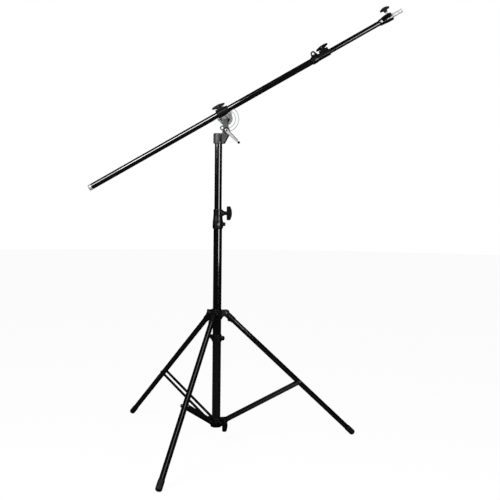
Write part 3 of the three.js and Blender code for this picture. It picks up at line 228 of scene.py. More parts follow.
def make_finish(name, colour, worn, rough, rough_worn, metal=0.0, mark_size=30, marks=0.5,
                grain_size=900, grain_depth=0.4, bump=0.1, sheen_level=0.5, coat=0.0):
    """A painted, cast, plated or moulded finish: rubbing changes colour and gloss, grain gives its skin."""
    paint = bpy.data.materials.new(name)
    paint.use_nodes = True
    tree = paint.node_tree
    skin = tree.nodes["Principled BSDF"]
    skin.inputs["Metallic"].default_value = metal
    skin.inputs["Specular IOR Level"].default_value = sheen_level
    skin.inputs["Coat Weight"].default_value, skin.inputs["Coat Roughness"].default_value = coat, coat_gloss
    wear = tree.nodes.new("ShaderNodeGroup")
    wear.node_tree = rubbing
    wear.inputs["Size"].default_value, wear.inputs["Amount"].default_value = mark_size, marks
    tint = tree.nodes.new("ShaderNodeMix")
    tint.data_type = "RGBA"
    tint.inputs[6].default_value, tint.inputs[7].default_value = (*colour, 1), (*worn, 1)
    gloss = tree.nodes.new("ShaderNodeMapRange")
    gloss.inputs["To Min"].default_value, gloss.inputs["To Max"].default_value = rough, rough_worn
    texture = tree.nodes.new("ShaderNodeGroup")
    texture.node_tree = grain
    texture.inputs["Size"].default_value, texture.inputs["Depth"].default_value = grain_size, grain_depth
    relief = tree.nodes.new("ShaderNodeBump")
    relief.inputs["Strength"].default_value, relief.inputs["Distance"].default_value = bump, relief_depth
    tree.links.new(wear.outputs["Mask"], tint.inputs[0])
    tree.links.new(wear.outputs["Mask"], gloss.inputs["Value"])
    tree.links.new(tint.outputs[2], skin.inputs["Base Color"])
    tree.links.new(gloss.outputs["Result"], skin.inputs["Roughness"])
    tree.links.new(texture.outputs["Height"], relief.inputs["Height"])
    tree.links.new(relief.outputs["Normal"], skin.inputs["Normal"])
    return paint


enamel = make_finish("black_enamel", (0.0022, 0.0022, 0.0024), (0.0045, 0.0045, 0.0048), 0.12, 0.17,
                     mark_size=14, marks=0.6, grain_size=300, grain_depth=0.3, bump=0.008,
                     sheen_level=0.75, coat=1.0)
mm = 0.001
fine_steps, bolt_steps = 64, 32
to_right = Matrix.Rotation(pi / 2, 4, "Y")
to_back = Matrix.Rotation(-pi / 2, 4, "X")
to_front = Matrix.Rotation(pi / 2, 4, "X")


def turn(form, profile, place, steps=fine_steps):
    """Spins a profile of (radius, height) points in millimetres about the place's Z axis."""
    before = set(form.verts)
    corners = [form.verts.new(Vector((radius * mm, 0, height * mm))) for radius, height in profile]
    edges = [form.edges.new(pair) for pair in zip(corners, corners[1:])]
    bmesh.ops.spin(form, geom=corners + edges, cent=(0, 0, 0), axis=(0, 0, 1), angle=2 * pi, steps=steps,
                   use_merge=True)
    bmesh.ops.transform(form, matrix=place, verts=[corner for corner in form.verts if corner not in before])


def settle(name, form, material, body, slot, *nodes, crease=32):
    """Finishes a piece: clean mesh, outward faces, smooth shading with sharp creases, riding on its body."""
    bmesh.ops.remove_doubles(form, verts=form.verts, dist=1e-6)
    bmesh.ops.recalc_face_normals(form, faces=form.faces)
    mesh = bpy.data.meshes.new(name)
    form.to_mesh(mesh)
    form.free()
    mesh.shade_smooth()
    mesh.set_sharp_from_angle(angle=radians(crease))
    mesh.materials.append(material)
    piece = bpy.data.objects.new(name, mesh)
    scene.collection.objects.link(piece)
    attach(piece, body)
    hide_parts(*nodes)
    return piece


def turned(name, profile, place, material, body, slot, *nodes, steps=fine_steps, crease=32):
    """A whole piece from one turned profile."""
    form = bmesh.new()
    turn(form, profile, place, steps)
    return settle(name, form, material, body, slot, *nodes, crease=crease)


def tube_profile(radius, wall, start, end):
    """A tube's closed section with both rims rolled."""
    roll_in = wall / 3
    inner = radius - wall
    return [(inner, start + roll_in), (inner + roll_in, start), (radius - roll_in, start),
            (radius, start + roll_in), (radius, end - roll_in), (radius - roll_in, end),
            (inner + roll_in, end), (inner, end - roll_in), (inner, start + roll_in)]


column_radius, tube_wall = 17.5, 1.5
turned("column_tube_enamelled", tube_profile(column_radius, tube_wall, column_low.z / mm, column_high.z / mm),
       column_place, enamel, "stand", "black_tube", "column_tube")


# Column end plug: an injection-moulded cap, pushed into the foot of the column tube and held by its fit.
# Its flange closes the rim and has a shallow dish underneath.
moulded = make_finish("black_moulding", (0.003, 0.003, 0.0032), (0.007, 0.007, 0.0073), 0.22, 0.34,
                      mark_size=55, marks=0.7, grain_size=1500, grain_depth=0.5, bump=0.08, sheen_level=0.45)
cap_profile = [(0, 1.2), (12, 1.2), (13, 0.4), (16.4, 0), (17.1, 0.7), (17.1, 4.5), (15.7, 4.5), (15.7, 22.8),
               (14.2, 22.8), (14.2, 4.5), (0, 4.5)]
turned("column_end_cap", cap_profile,
       column_place @ Matrix.Translation((0, 0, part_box("column_end_plug")[0].z)),
       moulded, "stand", "black_plastic", "column_end_plug")


# Lower spider: a die-cast alloy ring with three lugs, fixed on the foot of the column tube.
# Its black powder coat rounds every edge, so a casting's edges are softened by about a millimetre.
powder = make_finish("black_powder_coat", (0.003, 0.003, 0.0032), (0.007, 0.007, 0.0073), 0.32, 0.44,
                     mark_size=60, marks=0.6, grain_size=1900, grain_depth=0.6, bump=0.08, sheen_level=0.25)


def cast(name, node, material, body, skin=0.8, rounds=3, fillet=(), fillet_place=None):
    """A casting from the node's solid and a turned fillet, its skin rebuilt evenly and its edges rounded."""
    kept_faces = 0.35
    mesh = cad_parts[node].data.copy()
    mesh.name = name
    mesh.materials.clear()
    mesh.materials.append(material)
    form = bmesh.new()
    form.from_mesh(mesh)
    bmesh.ops.remove_doubles(form, verts=form.verts, dist=2e-6)
    if fillet:
        ring = bmesh.new()
        turn(ring, fillet, fillet_place)
        bmesh.ops.remove_doubles(ring, verts=ring.verts, dist=1e-6)
        bmesh.ops.recalc_face_normals(ring, faces=ring.faces)
        ring_mesh = bpy.data.meshes.new("fillet")
        ring.to_mesh(ring_mesh)
        ring.free()
        form.from_mesh(ring_mesh)
        bpy.data.meshes.remove(ring_mesh)
    form.to_mesh(mesh)
    form.free()
    piece = bpy.data.objects.new(name, mesh)
    scene.collection.objects.link(piece)
    even = piece.modifiers.new("even_skin", "REMESH")
    even.mode, even.voxel_size, even.use_smooth_shade = "VOXEL", skin * mm, True
    soft = piece.modifiers.new("soft_edges", "SMOOTH")
    soft.factor, soft.iterations = 0.5, rounds
    light = piece.modifiers.new("fewer_faces", "DECIMATE")
    light.ratio = kept_faces
    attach(piece, body)
    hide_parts(node)
    return piece


cast("lower_spider_casting", "lower_spider", powder, "stand")


# Brace bolts: steel bolts with a domed head and a domed nut, one through each lug and its pair of bars.
# Bare steel with a dark oiled finish.
oiled_steel = make_finish("oiled_steel", (0.09, 0.09, 0.094), (0.2, 0.2, 0.205), 0.3, 0.45, metal=1.0,
                          mark_size=90, marks=0.8, grain_size=2400, grain_depth=0.3, bump=0.05)
first_azimuth, leg_count = 19.5, 3
leg_azimuths = [radians(first_azimuth + 360 / leg_count * k) for k in range(leg_count)]
brace_pivot = (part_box("brace_bolt_1")[0].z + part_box("brace_bolt_1")[1].z) / 2
lug_out = 40


def bolt_profile(shank, reach, head, height):
    """A bolt with a domed end and a washer face either side, about the middle of its shank."""
    side = [(shank, 0), (shank, reach), (head, reach), (head, reach + height * 0.3),
            (head * 0.94, reach + height * 0.6), (head * 0.72, reach + height * 0.9),
            (head * 0.4, reach + height), (0, reach + height)]
    return [(r, -z) for r, z in reversed(side[1:])] + side[1:]


for k, azimuth in enumerate(leg_azimuths, 1):
    side_place = column_place @ Matrix.Rotation(azimuth, 4, "Z")
    turned(f"brace_bolt_{k}_domed", bolt_profile(shank=3.5, reach=15.8, head=6, height=3),
           side_place @ Matrix.Translation((lug_out * mm, 0, brace_pivot)) @ to_back,
           oiled_steel, "stand", "dark_steel", f"brace_bolt_{k}", steps=bolt_steps)


# Lower spider knob: a moulded bar on a threaded steel stud, dished on top and waisted beside its hub.
# The column's two knobs stand tall on a neck, and the boom's have wings. All are matt black mouldings.
knob_black = make_finish("black_knob_moulding", (0.003, 0.003, 0.0032), (0.006, 0.006, 0.0063), 0.3, 0.42,
                         mark_size=55, marks=0.7, grain_size=1500, grain_depth=0.5, bump=0.05,
                         sheen_level=0.22)


def plate(form, outline, thickness, place, edge=0.0, segments=2):
    """Extrudes an outline of (x, z) points in millimetres across Y, centred, with its rims rounded."""
    before = set(form.verts)
    corners = [form.verts.new(Vector((x * mm, -thickness * mm / 2, z * mm))) for x, z in outline]
    raised = bmesh.ops.extrude_face_region(form, geom=[form.faces.new(corners)])["geom"]
    lifted = [part for part in raised if isinstance(part, bmesh.types.BMVert)]
    bmesh.ops.translate(form, verts=lifted, vec=(0, thickness * mm, 0))
    if edge:
        rims = [line for end in (corners, lifted)
                for line in {line for corner in end for line in corner.link_edges}
                if line.verts[0] in end and line.verts[1] in end]
        bmesh.ops.bevel(form, geom=rims, offset=edge * mm, offset_type="OFFSET", segments=segments,
                        profile=0.5, affect="EDGES", clamp_overlap=True, material=-1)
    bmesh.ops.transform(form, matrix=place, verts=[corner for corner in form.verts if corner not in before])


def wing_outline(half, tip_low, tip_high, crown, neck, hub, corner, arch, dish=4):
    """The right half runs from the hub's foot out under the wing, round its blunt tip and over the crown."""
    tip_x = half - corner
    quarter = [step * pi / 10 for step in range(6)]
    under = [(hub + (tip_x - hub) * t, neck + tip_low * t ** arch) for t in (0, 0.08, 0.2, 0.4, 0.65, 0.85)]
    lower = [(tip_x + corner * sin(a), neck + tip_low + corner * (1 - cos(a))) for a in quarter]
    upper = [(tip_x + corner * cos(a), neck + tip_high - corner * (1 - sin(a))) for a in quarter]
    over = []
    for t in (0.12, 0.28, 0.45, 0.62, 0.8, 0.92):
        lift = (crown - tip_high) * (1 - (1 - t) ** 2)
        over.append((tip_x * (1 - t), neck + tip_high + lift - dish * max(0, t - 0.6) ** 2))
    right = under + lower + upper + over
    return right + [(0, neck + crown - dish * 0.16)] + [(-x, z) for x, z in reversed(right)]


def hand_knob(name, node, body, place, half, tip_low, tip_high, crown, width, neck, hub, corner, reach,
              arch=0.6):
    """A bar along X with a round hub, and a stud that reaches down from the place by the given length."""
    form = bmesh.new()
    outline = wing_outline(half, tip_low, tip_high, crown, neck, hub, corner, arch)
    plate(form, outline, width, place, edge=2.4, segments=4)
    turn(form, [(0, 0), (hub * 0.86, 0), (hub, 0.8), (hub, neck + 2), (hub * 0.98, neck + crown * 0.8),
                (hub * 0.8, neck + crown * 0.98), (hub * 0.5, neck + crown), (0, neck + crown)],
         place, bolt_steps)
    turn(form, [(0, -reach), (3.6, -reach), (4, 0.4 - reach), (4, 1), (0, 1)], place, bolt_steps)
    return settle(name, form, knob_black, body, "black_plastic", node, crease=40)


tall = dict(half=28.5, tip_low=0, tip_high=15.5, crown=21, width=14, neck=9, hub=8, corner=4)
low_knob_turn = Matrix.Rotation(leg_azimuths[0] - pi / 3, 4, "Z")
low_knob_spot = Matrix.Translation((0.0353, 0, 0.084))
hand_knob("lower_spider_hand_knob", "lower_spider_knob", "lower_knob",
          column_place @ low_knob_turn @ low_knob_spot @ to_right, reach=17.5, **tall)


# Stop collar: a cast ring clamped on the column under the sliding spider, with a short thumbscrew.
# The thumbscrew is moulded, with flutes round its rim.
cast("stop_collar_casting", "stop_collar", powder, "stand", skin=0.7)
stop_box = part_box("stop_collar_screw")
stop_azimuth = radians(-23.5)
stop_place = (column_place @ Matrix.Translation((0, 0, (stop_box[0].z + stop_box[1].z) / 2))
              @ Matrix.Rotation(stop_azimuth, 4, "Z") @ to_right)
flute_count, flute_out, flute_steps = 14, 0.0090, 8
thumbscrew_profile = [(0, 17.8), (3, 17.8), (3, 24.3), (8.3, 24.3), (9.2, 25.2), (9.2, 32.2), (8.2, 33.3),
                      (4.5, 32.7), (0, 32.7)]
form = bmesh.new()
turn(form, thumbscrew_profile, stop_place, bolt_steps)
for flute in range(flute_count):
    at = Matrix.Rotation(flute * 2 * pi / flute_count, 4, "Z") @ Matrix.Translation((flute_out, 0, 0))
    turn(form, [(0, 25), (0.75, 25.4), (0.75, 32.2), (0, 32.8)], stop_place @ at, flute_steps)
settle("stop_collar_thumbscrew", form, moulded, "stop_screw", "black_plastic", "stop_collar_screw")


# Column lock collar: one moulding over the joint of column and mast, with a boss for the lock knob
# and a lower boss whose screw pinches the collar on the tube. Rubber grip bands lie round it,
# and a small steel rivet closes its front.
cast("column_lock_moulding", "column_lock_collar", moulded, "stand", skin=0.8)
rubber = make_finish("matt_rubber", (0.003, 0.003, 0.0032), (0.007, 0.0068, 0.0067), 0.5, 0.62,
                     mark_size=90, marks=0.5, grain_size=1300, grain_depth=0.6, bump=0.05, sheen_level=0.3)
collar_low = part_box("column_lock_collar")[0].z
for band, (height, radius, lean) in enumerate(((7, 21.5, 0.35), (32, 21.2, -0.15), (54, 18.9, -0.1)), 1):
    low, high = radius - lean, radius + lean
    band_profile = [(low - 1.6, -2.6), (low, -2.6), (radius + 0.3, -2), (radius + 0.3, 2), (high, 2.6),
                    (high - 1.6, 2.6), (low - 1.6, -2.6)]
    turned(f"column_collar_grip_band_{band}", band_profile,
           column_place @ Matrix.Translation((0, 0, collar_low + height * mm)), rubber, "stand", "rubber")
lock_knob_spot = Matrix.Translation((0.0275, 0, 0.9491))
hand_knob("column_hand_knob", "column_lock_knob", "lock_knob", column_place @ lock_knob_spot @ to_right,
          reach=12.2, **tall)
pinch_screw_height, rivet_height, rivet_azimuth = 0.9041, 0.9035, radians(13)
pinch_profile = [(0, 17.8), (3, 17.8), (3, 25.1), (7.2, 25.1), (7.6, 25.5), (7.6, 29.6), (6.5, 30.9),
                 (3.6, 31.1), (3.4, 29.2), (0, 29)]
turned("collar_pinch_screw", pinch_profile,
       column_place @ Matrix.Translation((0, 0, pinch_screw_height)) @ to_right,
       moulded, "stand", "black_plastic", "collar_clamp_screw", steps=bolt_steps)
rivet_steel = make_finish("rivet_steel", (0.26, 0.26, 0.27), (0.2, 0.2, 0.21), 0.34, 0.46, metal=0.4,
                          mark_size=80, marks=0.8, grain_size=700, grain_depth=0.2, bump=0.04)
rivet_profile = [(0, 20.6), (3.9, 20.6), (3.9, 22), (3.3, 22.8), (1.8, 23.3), (0, 23.4)]
rivet_place = column_place @ Matrix.Translation((0, 0, rivet_height)) @ Matrix.Rotation(rivet_azimuth, 4, "Z")
turned("collar_front_rivet", rivet_profile, rivet_place @ to_front,
       rivet_steel, "stand", "bright_steel", steps=bolt_steps)


# Upper spider: the sliding casting with three forks, each crossed by a leg bolt of oiled steel.
# The legs fold inward as it rises.
cast("upper_spider_casting", "upper_spider", powder, "spider")
leg_pivot = (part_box("leg_1_bolt")[0].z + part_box("leg_1_bolt")[1].z) / 2
fork_out = 36
for k, azimuth in enumerate(leg_azimuths, 1):
    side_place = column_place @ Matrix.Rotation(azimuth, 4, "Z")
    turned(f"leg_{k}_bolt_domed", bolt_profile(shank=4, reach=14.05, head=7, height=3.5),
           side_place @ Matrix.Translation((fork_out * mm, 0, leg_pivot)) @ to_back,
           oiled_steel, "spider", "dark_steel", f"leg_{k}_bolt", steps=bolt_steps)


# Legs: an enamelled tube in a cast top fitting, a steel brace pin through the tube,
# and a ribbed rubber foot that is flat where it stands.
leg_length, pin_share, spread = 769, 0.57, radians(46.75)
pin_along = leg_length * pin_share
pin_profile = [(0, -12.2), (3.6, -12.2), (4, -11.8), (4, 11.8), (3.6, 12.2), (0, 12.2)]
foot_inner, foot_start, foot_floor, foot_end = 11.3, 738, 768.1, 780
dome_out, dome_along, dome_radius = 4, 771.5, 8.5
foot_profile = [(foot_inner, foot_start), (11.9, foot_start), (12.3, 738.7)]
for rib in range(4):
    z = 742 + rib * 4
    foot_profile += [(12.5, z), (12.5, z + 2.8), (12.3, z + 3.1), (12.3, z + 3.7)]
foot_profile += [(12.5, 759)]
foot_profile += [(dome_out + dome_radius * cos(a), dome_along + dome_radius * sin(a))
                 for a in (step * pi / 20 for step in range(11))]
foot_profile += [(0, foot_end), (0, foot_floor), (foot_inner, foot_floor), (foot_inner, foot_start)]
for k, azimuth in enumerate(leg_azimuths, 1):
    leg_place = (column_place @ Matrix.Rotation(azimuth, 4, "Z")
                 @ Matrix.Translation((fork_out * mm, 0, leg_pivot))
                 @ Matrix.Rotation(pi / 2 - spread, 4, "Y"))
    cast(f"leg_{k}_top_casting", f"leg_{k}_top", powder, f"leg_{k}", skin=0.7, rounds=5)
    turned(f"leg_{k}_tube_enamelled", tube_profile(radius=11, wall=1.4, start=22.3, end=767.8),
           leg_place @ to_right, enamel, f"leg_{k}", "black_tube", f"leg_{k}_tube")
    turned(f"leg_{k}_brace_pin_turned", pin_profile,
           leg_place @ Matrix.Translation((pin_along * mm, 0, 0)) @ to_back,
           oiled_steel, f"leg_{k}", "dark_steel", f"leg_{k}_brace_pin", steps=bolt_steps)
    form = bmesh.new()
    turn(form, foot_profile, leg_place @ to_right)
    bmesh.ops.remove_doubles(form, verts=form.verts, dist=1e-6)
    cut = bmesh.ops.bisect_plane(form, geom=form.verts[:] + form.edges[:] + form.faces[:], dist=1e-7,
                                 plane_co=(0, 0, 0), plane_no=(0, 0, -1), clear_outer=True)
    rim = [part for part in cut["geom_cut"] if isinstance(part, bmesh.types.BMEdge)]
    bmesh.ops.contextual_create(form, geom=rim)
    settle(f"leg_{k}_foot_ribbed", form, rubber, f"leg_{k}", "rubber", f"leg_{k}_foot")


# Braces: pairs of flat steel bars with round ends, painted satin black.
# The spider's bolt holds each pair at the column, and a rivet head closes each bar at the leg.
satin_black = make_finish("satin_black", (0.004, 0.004, 0.0042), (0.008, 0.008, 0.0083), 0.4, 0.52,
                          mark_size=22, marks=0.6, grain_size=800, grain_depth=0.4, bump=0.05,
                          sheen_level=0.35)
brace_run = fork_out + pin_along * sin(spread) - lug_out
brace_rise = (leg_pivot - brace_pivot) / mm - pin_along * cos(spread)
brace_length = hypot(brace_run, brace_rise)
bar_half, bar_thickness, bar_out, rivet_out = 6.5, 3, 0.014, 0.0125
rivet_head_profile = [(0, 0.2), (5.6, 0.2), (5.6, 4), (5.2, 4.6), (3.8, 5.1), (1.8, 5.25), (0, 5.25)]


def bar_outline(length, half, steps=10):
    half_turn = [step * pi / steps for step in range(steps + 1)]
    near = [(-half * sin(a), half * cos(a)) for a in half_turn]
    far = [(length + half * sin(a), -half * cos(a)) for a in half_turn]
    return near + far


for k, azimuth in enumerate(leg_azimuths, 1):
    bar_place = (column_place @ Matrix.Rotation(azimuth, 4, "Z")
                 @ Matrix.Translation((lug_out * mm, 0, brace_pivot))
                 @ Matrix.Rotation(-atan2(brace_rise, brace_run), 4, "Y"))
    for side, word in ((1, "left"), (-1, "right")):
        form = bmesh.new()
        plate(form, bar_outline(brace_length, bar_half), bar_thickness,
              bar_place @ Matrix.Translation((0, side * bar_out, 0)), edge=0.7)
        settle(f"brace_{k}_{word}_bar", form, satin_black, f"brace_{k}", "black_tube", f"brace_{k}_{word}")
        turned(f"brace_{k}_{word}_rivet_head", rivet_head_profile,
               bar_place @ Matrix.Translation((brace_length * mm, side * rivet_out, 0))
               @ (to_back if side > 0 else to_front),
               oiled_steel, f"brace_{k}", "dark_steel", steps=bolt_steps)


# Mast: the second column section, an enamelled steel tube like the first.
# A moulded bush in its foot guides it in the column tube.
mast_low, mast_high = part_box("mast_tube")
turned("mast_tube_enamelled", tube_profile(15, tube_wall, mast_low.z / mm, mast_high.z / mm), column_place,
       enamel, "mast", "black_tube", "mast_tube")
mast_bush_profile = [(0, -6.3), (15, -6.3), (15.65, -5.7), (15.65, -0.3), (13.2, -0.3), (13.2, 15.3),
                     (12.4, 16), (0, 16)]
turned("mast_guide_bush", mast_bush_profile, column_place @ Matrix.Translation((0, 0, mast_low.z)),
       moulded, "mast_slider", "black_plastic", "mast_tail_bush")


# Head casting: barrel, wing, fork and eye lug in one alloy casting, with a grey hammered lacquer.
# A set screw holds it on the mast from behind. A dark moulded strip beside the slit in its barrel
# is painted shade, standing in for the shadow inside the slit.
grey_lacquer = make_finish("grey_lacquer", (0.074, 0.074, 0.077), (0.12, 0.12, 0.124), 0.32, 0.46, metal=0.35,
                           mark_size=70, marks=0.6, grain_size=900, grain_depth=0.6, bump=0.08)
pivot_offset, pivot_height = 28.75, 0.101
head_place = column_place @ Matrix.Translation((0, 0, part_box("head_casting")[0].z))
pivot_place = head_place @ Matrix.Translation((pivot_offset * mm, 0, pivot_height))
cast("tilt_head_casting", "head_casting", grey_lacquer, "mast", skin=0.7, rounds=2)
slit_shade_spot, set_screw_spot = Matrix.Translation((0.0129, -0.0186, 0)), Matrix.Translation((0, 0, 0.020))
slit_shade_outline, slit_shade_thickness = [(-2.9, 1.2), (2.9, 1.2), (2.9, 39.6), (-2.9, 39.6)], 1.8
# Painted shade: this dark strip stands in for the shadow in the barrel's slit.
form = bmesh.new()
plate(form, slit_shade_outline, slit_shade_thickness, head_place @ slit_shade_spot, edge=0.6, segments=3)
settle("head_slit_shade_strip", form, moulded, "mast", "black_plastic")
set_screw_profile = [(0, 15.3), (2.8, 15.3), (2.8, 21.8), (4.6, 21.8), (5, 22.2), (5, 24), (4.2, 25.2),
                     (2, 25.2), (2, 23), (0, 23)]
turned("head_set_screw", set_screw_profile, head_place @ set_screw_spot @ to_back,
       oiled_steel, "mast", "dark_steel", "head_screw", steps=bolt_steps)


# Pivot: a plain steel bolt with a domed head in front of the fork, and an oiled hexagon nut behind the dial.
# The two hold the fork, the cradle's tongue and the dial together.
steel = make_finish("bare_steel", (0.2, 0.2, 0.205), (0.3, 0.3, 0.305), 0.34, 0.46, metal=0.5,
                    mark_size=90, marks=0.8, grain_size=2400, grain_depth=0.3, bump=0.05)
hexagon = 6
pivot_profile = [(0, -22), (2.2, -22), (2.6, -21.7), (4.6, -21.7), (6.4, -20.8), (7.2, -19.6), (7.2, -18.8),
                 (5, -18.8), (5, 29.4), (4.2, 30.8), (0, 30.8)]
turned("pivot_bolt_domed", pivot_profile, pivot_place @ to_back,
       steel, "mast", "dark_steel", "pivot_bolt", steps=bolt_steps)
nut_profile = [(5.3, 21.7), (7.9, 21.7), (9.2, 22.5), (9.2, 28.4), (7.9, 29.2), (5.3, 29.2), (5.3, 21.7)]
turned("pivot_nut_chamfered", nut_profile, pivot_place @ to_back,
       oiled_steel, "mast", "dark_steel", "pivot_nut", steps=hexagon, crease=20)


# Angle dial: a clear acrylic disc behind the fork, clamped by the pivot's nut.
# A circle is engraved in its front and its rim is stepped. Both are painted grey on the right, where they
# stand
# clear of the head: painted shade, standing in for the dark lines that these edges of a clear disc show.
clear = bpy.data.materials.new("clear_acrylic")
clear.use_nodes = True
acrylic = clear.node_tree.nodes["Principled BSDF"]
acrylic.inputs["Base Color"].default_value = (0.97, 0.98, 0.98, 1)
acrylic.inputs["Transmission Weight"].default_value = 1
acrylic.inputs["IOR"].default_value = 1.12
haze = clear.node_tree.nodes.new("ShaderNodeGroup")
haze.node_tree = rubbing
haze.inputs["Size"].default_value, haze.inputs["Amount"].default_value = 45, 0.06
clear.node_tree.links.new(haze.outputs["Mask"], acrylic.inputs["Roughness"])
dial_edge_shade = make_finish("dial_edge_shade_grey", (0.16, 0.16, 0.165), (0.24, 0.24, 0.245), 0.5, 0.6,
                        grain_size=1200, bump=0.05)
circle_in, circle_out, rim_in, front_depth = 36.6, 38.4, 50.0, 19.4
shaded_angle, dial_steps = radians(80), 96
dial_profile = [(5.3, 18.8), (circle_in, 18.8), (36.8, 19.2), (38.2, 19.2), (circle_out, 18.8),
                (rim_in, 18.8), (50.2, 19.2), (51.8, 19.2), (52, front_depth), (52, 21), (51.6, 21.4),
                (5.3, 21.4), (5.3, 18.8)]
dial = turned("angle_dial_clear", dial_profile, pivot_place @ to_back,
              clear, "mast", "clear_plastic", "angle_dial", steps=dial_steps)
# Painted shade: grey on the right part of the engraved circle and the rim, for the dark lines of the disc's
# edges.
dial.data.materials.append(dial_edge_shade)
pivot_spot = pivot_place.translation
for facet in dial.data.polygons:
    dial_x, dial_z = facet.center.x - pivot_spot.x, facet.center.z - pivot_spot.z
    out = hypot(dial_x, dial_z) / mm
    in_front = facet.center.y < pivot_spot.y + front_depth * mm
    on_shaded_edge = circle_in < out < circle_out or out > rim_in
    if in_front and on_shaded_edge and abs(atan2(dial_z, dial_x)) < shaded_angle:
        facet.material_index = 1


# Tilt lever: a cast handle with a bright nickel skin and a dark moulded cap on its tip.
# A dark steel strip along its lower edge is painted shade, standing in for the handle's shadowed side.
# Its steel stud squeezes the fork. A moulded washer lies under the hub and a small screw sits in its face.
bright = make_finish("bright_nickel", (0.72, 0.72, 0.73), (0.58, 0.58, 0.59), 0.26, 0.38, metal=0.5,
                     mark_size=80, marks=0.8, grain_size=700, grain_depth=0.2, bump=0.04)
lever_angle, lever_spot = radians(44), Matrix.Translation((0.03575, 0, 0.051))
lever_shade_spot, handle_spot = Matrix.Translation((0, -0.0309, 0)), Matrix.Translation((0, -0.0268, 0))
lever_place = head_place @ lever_spot @ Matrix.Rotation(lever_angle, 4, "Y")
cast("tilt_lever_cast", "tilt_lever", bright, "lever", skin=0.5, rounds=4)
# Painted shade: a dark strip laid on the handle's face where its side falls in shadow.
lever_shade_outline, lever_shade_thickness = [(3, 4.6), (3, 7.4), (61, 4.9), (61, 2.5)], 1
form = bmesh.new()
plate(form, lever_shade_outline, lever_shade_thickness, lever_place @ lever_shade_spot, edge=0.3)
settle("tilt_lever_shade_strip", form, oiled_steel, "lever", "dark_steel")
washer_profile = [(7.9, 18.9), (12.4, 18.9), (13, 19.5), (13, 21.8), (12.4, 22.4), (7.9, 22.4), (7.9, 18.9)]
turned("tilt_lever_washer", washer_profile, lever_place @ to_front,
       moulded, "lever", "black_plastic", steps=bolt_steps)
hub_screw_profile = [(0, 30.4), (4.4, 30.4), (4.4, 31.6), (3.8, 32.2), (2, 32.4), (2, 31.2), (0, 31.2)]
turned("tilt_lever_hub_screw", hub_screw_profile, lever_place @ to_front,
       oiled_steel, "lever", "dark_steel", steps=bolt_steps)
tip_cap_profile = [(0, 66.9), (4.6, 66.9), (5.2, 67.5), (5.2, 72), (4.5, 73.8), (2.8, 74.7), (0, 74.9)]
turned("tilt_lever_end_cap", tip_cap_profile, lever_place @ handle_spot @ to_right,
       moulded, "lever", "black_plastic", "tilt_lever_cap", steps=bolt_steps)
stud_profile = [(0, -25.5), (4, -25.5), (4, 14.7), (6.2, 14.7), (6.4, 15), (6.4, 18), (5.8, 18.5), (3, 18.5),
                (2.8, 16.6), (0, 16.6)]
turned("tilt_lever_stud_turned", stud_profile, lever_place @ to_back,
       oiled_steel, "lever", "dark_steel", "tilt_lever_stud", steps=bolt_steps)


# Cradle: a paler alloy casting, whose round tongue turns in the fork and whose saddle carries the clamp.
# Two dark rubber pads lie in the tongue's grooves beside the pivot: painted shadow, standing in for the shade
# that the fork's front cheek throws on the tongue. The clamp is a casting with a matt black coat,
# closed by a steel screw through its ears and pressed on the boom by a winged knob.
pale_lacquer = make_finish("pale_lacquer", (0.22, 0.22, 0.225), (0.33, 0.33, 0.335), 0.3, 0.44, metal=0.4,
                           mark_size=70, marks=0.6, grain_size=900, grain_depth=0.6, bump=0.08)
cast("cradle_casting", "tilt_cradle", pale_lacquer, "cradle", skin=0.7, rounds=2)
# Painted shadow: the dark pads sit where the front cheek's shade falls on the tongue.
shadow_pad_section = [(10.4, 4.8), (17.2, 4.8), (17.2, 8.9), (10.4, 8.9)]
shadow_pad_start, shadow_pad_angle, shadow_pad_steps = radians(2), radians(88), 24
for word, side in (("back", 1), ("front", -1)):
    form = bmesh.new()
    corners = [form.verts.new((radius * mm, side * depth * mm, 0)) for radius, depth in shadow_pad_section]
    end_face = form.faces.new(corners)
    bmesh.ops.rotate(form, cent=(0, 0, 0), matrix=Matrix.Rotation(shadow_pad_start, 3, "Y"), verts=form.verts)
    bmesh.ops.duplicate(form, geom=[end_face])
    bmesh.ops.spin(form, geom=[end_face, *end_face.edges, *end_face.verts], cent=(0, 0, 0), axis=(0, 1, 0),
                   angle=shadow_pad_angle, steps=shadow_pad_steps)
    bmesh.ops.transform(form, matrix=pivot_place, verts=form.verts)
    settle(f"cradle_shadow_pad_{word}", form, rubber, "cradle", "rubber")
boom_angle = radians(-29.2)
boom_place = pivot_place @ Matrix.Rotation(boom_angle, 4, "Y") @ Matrix.Translation((0, 0, pivot_offset * mm))
matt_powder = make_finish("matt_powder_coat", (0.003, 0.003, 0.0032), (0.006, 0.006, 0.0063), 0.42, 0.55,
                          mark_size=60, marks=0.6, grain_size=1900, grain_depth=0.6, bump=0.05,
                          sheen_level=0.2)
cast("boom_clamp_casting", "boom_clamp", matt_powder, "cradle", skin=0.7)
ear_screw_spot = Matrix.Translation((-0.020, 0, -0.02065))
clamp_knob_spot = Matrix.Translation((-0.003, 0, 0.0199)) @ Matrix.Rotation(radians(25), 4, "Z")
turned("boom_clamp_screw_domed", bolt_profile(shank=2.4, reach=12.75, head=4.2, height=2),
       boom_place @ ear_screw_spot @ to_back,
       oiled_steel, "cradle", "dark_steel", "boom_clamp_screw", steps=bolt_steps)
winged = dict(half=29, tip_low=6, tip_high=13, crown=16.5, width=11, neck=0, hub=8, corner=3)
hand_knob("boom_clamp_hand_knob", "boom_clamp_knob", "clamp_knob",
          boom_place @ clamp_knob_spot, reach=7.1, **winged)


